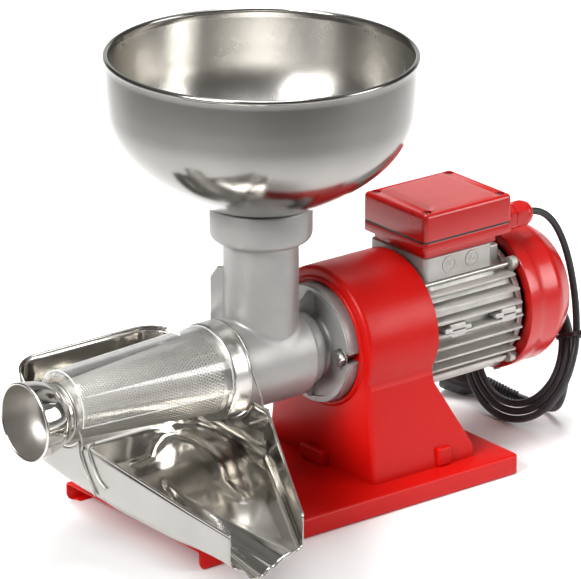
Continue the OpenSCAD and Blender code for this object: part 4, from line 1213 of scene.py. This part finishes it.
tube("front_hanger_wire", catmull(loop_pts(-222, 26.6, 32, 112, [(12.5, 0, 0), (1, 0, 0), (0, -0.4, 1.2), (0, -1.2, 5), (0, 0.6, 11)]), 3), 0.9, "wire_steel", "tray",
     replaces=("front_hanger",), res=4)
for s in (-1, 1):
    t1 = [(-222.2, s * 27.2, 119.5), (-222.3, s * 28.6, 113.8), (-222.3, s * 30, 106.6), (-222.3, s * 37.3, 94.4), (-222.3, s * 44.5, 85), (-222.3, s * 51.6, 75.2)]
    t2 = [(-212.6, s * 36.2, 115.8), (-212.4, s * 37.0, 117.8), (-214.0, s * 38.4, 119.4), (-219.6, s * 40.4, 119.3), (-222.0, s * 41.4, 117.0), (-222.3, s * 41.9, 114.0),
          (-222.3, s * 44.8, 106.7), (-222.3, s * 50.6, 98.8), (-222.3, s * 57.8, 91.4), (-222.3, s * 66.5, 86.8)]
    tube("front_hanger_tail_a", catmull(t1, 4), 0.95, "wire_steel", "tray", res=4)
    tube("front_hanger_tail_b", catmull(t2, 4), 0.95, "wire_steel", "tray", res=4)
rear = [(-53, -52, 102), (-41, -52, 102), (-39.8, -52.5, 103.2), (-39.6, -53.5, 106), (-39.4, -54.5, 112), (-40.2, -53, 122), (-41.6, -49, 133)]
rear += [(-43, 43.9 * math.cos(math.radians(a)), AZ + 43.9 * math.sin(math.radians(a))) for a in [168 - 12 * k for k in range(14)]]
rear += [(-39.9, 47, 138), (-39.7, 51, 129), (-39.4, 54, 119), (-39.4, 54.5, 112), (-39.6, 53.5, 106), (-39.8, 52.5, 103.2), (-41, 52, 102), (-53, 52, 102)]
tube("rear_hanger_wire", catmull(rear, 3), 0.9, "wire_steel", "tray", replaces=("rear_hanger",), res=4)


# ------------------------------------------------------------------ motor
def stator():
    b = Build()
    b.rev([(50, 153.0), (50, 152.4), (50.6, 152.0), (53.8, 152.0), (54.5, 152.6), (54.5, 255.4), (53.9, 256.0), (50.6, 256.0), (50, 255.4), (50, 153.0)], n=96)
    core = b.done("stator_barrel", "motor_alloy", "frame", replaces=("stator_housing",), smooth=35)
    # horizontal fins
    b = Build()
    for s in (-1, 1):
        for k in range(-3, 4):
            zc = AZ + 2.0 + 12.0 * k
            dz = zc - AZ
            tip = math.sqrt(66.5 ** 2 - dz * dz)
            root = math.sqrt(max(54.0 ** 2 - dz * dz, 30.0 ** 2)) - 1.0
            sec = [(root, -2.1), (tip - 1.3, -1.3), (tip - 0.35, -0.95), (tip, 0.0), (tip - 0.35, 0.95), (tip - 1.3, 1.3), (root, 2.1)]
            rings = []
            for x, q in ((153.2, 0.8), (154.0, 0.0), (180, 0), (220, 0), (255.0, 0.0), (255.8, 0.8)):
                rings.append([(x, s * (y - (q if y > root + 1 else 0)), zc + z * (1 - 0.25 * q)) for y, z in sec])
            b.loft(rings, closed=True, cap0=True, cap1=True)
    # fins under the motor
    for k in range(-2, 3):
        yc = 12.0 * k
        tip = math.sqrt(66.0 ** 2 - yc * yc)
        root = math.sqrt(54.0 ** 2 - yc * yc) - 1
        sec = [(root, -2.0), (tip - 1.0, -1.2), (tip, 0.0), (tip - 1.0, 1.2), (root, 2.0)]
        rings = [[(x, yc + w, AZ - h) for h, w in sec] for x in (172, 200, 230, 255.8)]
        b.loft(rings, closed=True, cap0=True, cap1=True)
    b.done("stator_fins", "motor_alloy", "frame", smooth=45)
    # screw bosses, foot strips and terminal pad
    b = Build()
    for s in (-1, 1):
        for x0, x1, z0 in ((162, 194, 136.6), (223, 254, 138.0)):
            ya, yb = (52, 66.2) if s > 0 else (-66.2, -52)
            b.box((x0 + 7, ya, z0 - 1.5), (x1 - 7, yb, z0 + 11.5))
            b.box((x0, ya, z0 + 3.5), (x1, yb * 0.997, z0 + 8.0))
    o = b.done("stator_bosses", "motor_alloy", "frame", smooth=40)
    mod_bevel(o, 1.6, 3, 50)
    cutters = []
    b = Build()
    for s in (-1, 1):
        ya, yb = (34, 47) if s > 0 else (-47, -34)
        b.box((153.4, ya, AZ - 48), (250, yb, AZ - 43))
    o = b.done("stator_foot_strips", "motor_alloy", "frame", smooth=40)
    mod_bevel(o, 1.2, 3, 50)
    # terminal pad: rounded block that flares into the barrel
    b = Build()
    rings = rbox_rings(158, -40, 239, 40, 5, [(0.9, 206.0), (0.25, 205.7), (0.0, 204.9), (0.0, 190.0), (-0.4, 186.0), (-1.2, 183.0), (-2.6, 180.0), (-4.5, 176)])
    b.loft(rings, cap0=True)
    o = b.done("terminal_pad", "motor_alloy", "frame", smooth=40)
    # knock-outs in the pad's side
    b = Build()
    for xk in (186.6, 214.1):
        for sy in (-1, 1):
            n = 40
            rings = []
            for r, dy in ((8.2, -0.1), (7.9, 0.7), (7.3, 0.9), (6.7, 0.75), (6.4, 0.12), (4.2, 0.10), (3.9, 0.5), (2.2, 0.55), (1.8, 0.15), (0.3, 0.12)):
                rings.append([(xk + r * math.cos(2 * PI * j / n), sy * (40.0 + dy), 196.2 + r * math.sin(2 * PI * j / n)) for j in range(n)])
            b.loft(rings)
    b.done("terminal_pad_knockouts", "motor_alloy", "frame", smooth=50)
    # rear lug of the casting under the terminal box
    b = Build().box((240, -30, 178), (254.5, 30, 199))
    o = b.done("stator_rear_lug", "motor_alloy", "frame", smooth=40)
    mod_bevel(o, 2.0, 3, 50)


stator()


def cowl():
    R = 69.5
    prof = [(67.5, 271.4), (67.5, 264.2), (68.0, 263.6), (69.0, 263.6), (69.5, 264.1), (69.5, 275.4), (69.4, 275.8), (68.5, 276.0), (68.3, 276.4), (68.4, 285), (68.6, 296.4)]
    prof += catmull([(68.6, 298.4), (67.9, 301.0), (66.4, 304.6), (61.2, 313.0), (57.0, 319.4), (55.0, 321.9), (53.2, 323.6), (50.9, 325.2), (48.4, 325.9), (46.6, 326.0)], 4)
    b = Build().rev(prof, n=144)
    inner = [(46.6, 324.0), (48.4, 324.0), (51.6, 323.0), (54.2, 320.4), (66.5, 298.2), (66.5, 272.5), (67.5, 271.4)]
    b.rev(inner, n=144)
    b.rev([(67.4, 265.6), (57.6, 265.6), (57.2, 266.0), (57.2, 267.0), (57.6, 267.4), (67.4, 267.4)], n=144)
    # grille with round holes
    outer = arc(0, 0, 46.6, 0, 360, 144)[:-1]
    holes = []
    for r in (14, 24, 34, 43):
        k = r // 2
        for i in range(k):
            a = 2 * PI * i / k
            holes.append([(r * math.cos(a) + 2.4 * math.cos(2 * PI * j / 14), r * math.sin(a) + 2.4 * math.sin(2 * PI * j / 14)) for j in range(14)])
    b.slab(outer, holes, lambda y, z: (326.0, y, AZ + z), lambda y, z: (324.0, y, AZ + z))
    b.done("fan_cowl_moulded", "red_plastic", "frame", replaces=("fan_cowl",), smooth=38, merge=0.02)


cowl()


# ------------------------------------------------------------------ terminal box
BX0, BX1, BY = 153.1, 258.0, 44.9


def terminal_box():
    b = Build()
    rings = rbox_rings(BX0, -BY, BX1, BY, 5, [(1.0, 224.8), (0.15, 224.9), (0.0, 225.5), (0.0, 236), (0.0, 246.2), (0.25, 247.6), (0.9, 248.9), (1.9, 249.9), (3.2, 250.5), (4.4, 250.6)])
    b.loft(rings, cap0=True, cap1=True)
    lid = b.done("terminal_lid", "red_plastic", "frame", replaces=("terminal_box_lid",), smooth=40)
    cutters = []
    for x in (162, 249):
        for y in (-36.5, 36.5):
            cutters.append(solid_obj(Build().rev([(0.02, 246.8), (4.4, 246.8), (4.8, 252.0), (0.02, 252.0)], axis="z", c=(x, y, 0), n=40)))
    cutters.append(solid_obj(Build().box((191.6, 42.5, 228.2), (218.4, 50, 246.8))))
    cutters.append(solid_obj(Build().box((254.7, -43.2, 224), (260, -18.8, 236.3))))
    cut(lid, cutters)
    mod_bevel(lid, 0.5, 2, 60)
    apply_mods(lid, 40)
    # raised panel with sloped borders, coloured with the pinker red that paints the top light's sheen onto it
    b = Build()
    rings = [[(x, y, z) for x, y in rrect(165.5 + i, -38 + i, 245.5 - i, 38 - i, max(9.5 - i, 1.5))] for i, z in ((-0.3, 250.4), (0.0, 250.65), (6.6, 252.2), (7.4, 252.5), (8.2, 252.6))]
    b.loft(rings, cap1=True)
    b.done("terminal_lid_panel", "lid_panel_painted_sheen", "frame", smooth=30)
    # lower half
    b = Build()
    rings = rbox_rings(BX0, -BY, BX1, BY, 5, [(1.2, 222.8), (0.25, 222.8), (0.0, 222.3), (0.0, 214.6), (0.35, 213.6), (1.2, 213.1), (2.4, 213.0)])
    rings += [[(x, y, z) for x, y in rrect(BX0 + 7 + i, -BY + 7 + i, BX1 - 12 - i, BY - 7 - i, 4)] for i, z in ((-1.4, 213.0), (-0.3, 212.6), (0.0, 211.6), (0.0, 206.1))]
    b.loft(rings, cap0=True, cap1=True)
    o = b.done("terminal_base", "red_plastic", "frame", replaces=("terminal_box_base",), smooth=40)
    # raised collar for the gland
    b = Build().box((254.9, -42.9, 213.6), (258.6, -19.1, 236.0))
    o = b.done("terminal_gland_pad", "red_plastic", "frame", smooth=40)
    mod_bevel(o, 1.0, 3, 50)
    # lid screws with cross slots
    b = Build()
    for x in (162, 249):
        for y in (-36.5, 36.5):
            b.rev([(0.02, 249.2), (1.6, 249.3), (2.9, 249.2), (3.5, 248.7), (3.6, 248.0), (3.6, 247.0), (0.02, 247.0)], axis="z", c=(x, y, 0), n=40)
    o = b.done("lid_screw_heads", "zinc_steel", "frame", smooth=40, replaces=("lid_screws",))
    cs = []
    for x in (162, 249):
        for y in (-36.5, 36.5):
            cs.append(solid_obj(Build().box((x - 2.3, y - 0.45, 248.2), (x + 2.3, y + 0.45, 250.5))))
            cs.append(solid_obj(Build().box((x - 0.45, y - 2.3, 248.2), (x + 0.45, y + 2.3, 250.5))))
    cut(o, cs)
    o.data.shade_smooth()
    o.data.set_sharp_from_angle(angle=math.radians(40))


terminal_box()


def gland():
    y0, z0 = -31.0, 223.0
    n = 72

    def hexring(x, r, lim=None):
        ring = []
        for j in range(n):
            a = 2 * PI * j / n
            m = (a % (PI / 3)) - PI / 6
            h = r * math.cos(PI / 6) / math.cos(m)
            if lim:
                h = min(h, lim)
            ring.append((x, y0 - h * math.sin(a), z0 + h * math.cos(a)))
        return ring

    def circ(x, r):
        return [(x, y0 - r * math.sin(2 * PI * j / n), z0 + r * math.cos(2 * PI * j / n)) for j in range(n)]
    b = Build()
    b.loft([circ(254, 8.4), circ(257.6, 8.4), hexring(258.0, 13.8, 12.2), hexring(258.8, 13.8, 13.3), hexring(262, 13.8), hexring(264.8, 13.8, 13.5), hexring(265.8, 13.8, 12.8), circ(266, 10.5), circ(266.4, 10.2)], cap0=True)
    b.done("cable_gland_body", "red_plastic", "frame", replaces=("cable_gland",), smooth=32)
    b = Build()
    rings = [circ(266.4, 9.6), hexring(266.6, 13.6, 12.4), hexring(267.6, 13.6, 13.3), hexring(272, 13.6), hexring(276.5, 13.6), hexring(278.8, 13.6, 13.2), hexring(280, 13.6, 12.2), circ(280.6, 12.0)]
    rings += [circ(x, r) for r, x in catmull([(12.0, 281.2), (11.7, 283.2), (10.3, 286.3), (7.6, 288.4), (5.2, 289.0), (4.1, 288.8), (3.7, 288.0), (3.7, 280)], 4)]
    b.loft(rings)
    b.done("gland_dome_nut", "red_plastic", "frame", replaces=("gland_nut",), smooth=32)


gland()


# ------------------------------------------------------------------ CAD nodes that stay
def finish_node(name, slot, bev=0.0):
    o = NODE[name]
    if o.hide_render:
        return
    o.data.materials.clear()
    o.data.materials.append(MAT[slot])
    w = o.modifiers.new("weld", "WELD")
    w.merge_threshold = 1e-6
    if bev:
        mod_bevel(o, bev, 2, 40)


for sp in frame["record"]["subparts"]:
    nm, sl = sp["node"], sp["material_slot"]
    finish_node(nm, sl, 0.4 if nm in ("switch_frame", "rocker_button", "motor_rear_shield", "motor_front_shield", "cooling_fan", "terminal_block", "capacitor", "cowl_screws") else 0.0)


# ------------------------------------------------------------------ stage and light
def stage_and_light():
    me = bpy.data.meshes.new("floor")
    s = 6.0
    me.from_pydata([(-s, -s, 0), (s, -s, 0), (s, s, 0), (-s, s, 0)], [], [(0, 1, 2, 3)])
    o = bpy.data.objects.new("floor", me)
    scene.collection.objects.link(o)
    o.location = (0, 0, -0.0002)
    m, nt, bs = new_mat("floor_pale")
    c = ramp(nt, noise(nt, 3.0, 3.0, 0.5), [(0.3, (0.90, 0.90, 0.90)), (0.7, (0.93, 0.93, 0.93))])
    nt.links.new(c, bs.inputs["Base Color"])
    bs.inputs["Roughness"].default_value = 0.7
    bs.inputs["Specular IOR Level"].default_value = 0.2
    me.materials.append(m)

    def area(name, loc, target, size, power, sy=None, col=(1, 1, 1), spread=180.0):
        ld = bpy.data.lights.new(name, "AREA")
        ld.shape = "RECTANGLE"
        ld.size = size
        ld.size_y = sy or size
        ld.energy = power
        ld.color = col
        ld.spread = math.radians(spread)
        lo = bpy.data.objects.new(name, ld)
        scene.collection.objects.link(lo)
        lo.location = loc
        d = Vector(target) - Vector(loc)
        lo.rotation_euler = d.to_track_quat("-Z", "Y").to_euler()
        return lo

    area("key_left", (-1.9, -0.3, 1.6), (0.02, 0.08, 0.28), 1.2, 9.5, spread=54)
    area("top", (-0.05, 0.25, 2.3), (0.05, 0.40, 0.0), 1.4, 8, spread=58)
    area("backdrop", (1.0, 1.27, 2.2), (1.0, 1.27, 0.0), 1.7, 18, spread=84)
    area("fill_right", (1.7, -1.9, 1.1), (0, 0, 0.2), 1.3, 3.8, spread=54)
    w = bpy.data.worlds.new("studio")
    scene.world = w
    w.use_nodes = True
    nt = w.node_tree
    bg = nt.nodes["Background"]
    tc = nt.nodes.new("ShaderNodeTexCoord")
    sep = nt.nodes.new("ShaderNodeSeparateXYZ")
    nt.links.new(tc.outputs["Generated"], sep.inputs[0])
    rp = ramp(nt, maprange(nt, sep.outputs["Z"], -1, 1, 0, 1), [(0.0, (0.3, 0.3, 0.3)), (0.49, (0.3, 0.295, 0.29)), (0.505, (0.16, 0.155, 0.145)), (0.60, (0.07, 0.068, 0.063)), (0.70, (0.10, 0.098, 0.092)), (0.80, (0.17, 0.168, 0.162)), (0.90, (0.28, 0.28, 0.275)), (1.0, (0.36, 0.36, 0.36))])
    nm = nt.nodes.new("ShaderNodeVectorMath")
    nm.operation = "DOT_PRODUCT"
    nm.inputs[1].default_value = (0.62, 0.785, 0.0)
    nt.links.new(tc.outputs["Generated"], nm.inputs[0])
    back = nt.nodes.new("ShaderNodeMath")
    back.operation = "MULTIPLY"
    nt.links.new(maprange(nt, nm.outputs["Value"], 0.80, 0.90, 0.0, 1.0), back.inputs[0])
    nt.links.new(maprange(nt, sep.outputs["Z"], 0.30, 0.50, 1.0, 0.0), back.inputs[1])
    mw = nt.nodes.new("ShaderNodeMix")
    mw.data_type = "RGBA"
    nt.links.new(back.outputs[0], mw.inputs[0])
    nt.links.new(rp, mw.inputs[6])
    mw.inputs[7].default_value = (0.85, 0.85, 0.84, 1)
    nt.links.new(mw.outputs[2], bg.inputs["Color"])
    bg.inputs["Strength"].default_value = 1.0
    scene.view_settings.view_transform = "Standard"
    scene.view_settings.look = "None"
    scene.view_settings.exposure = 0.0


stage_and_light()
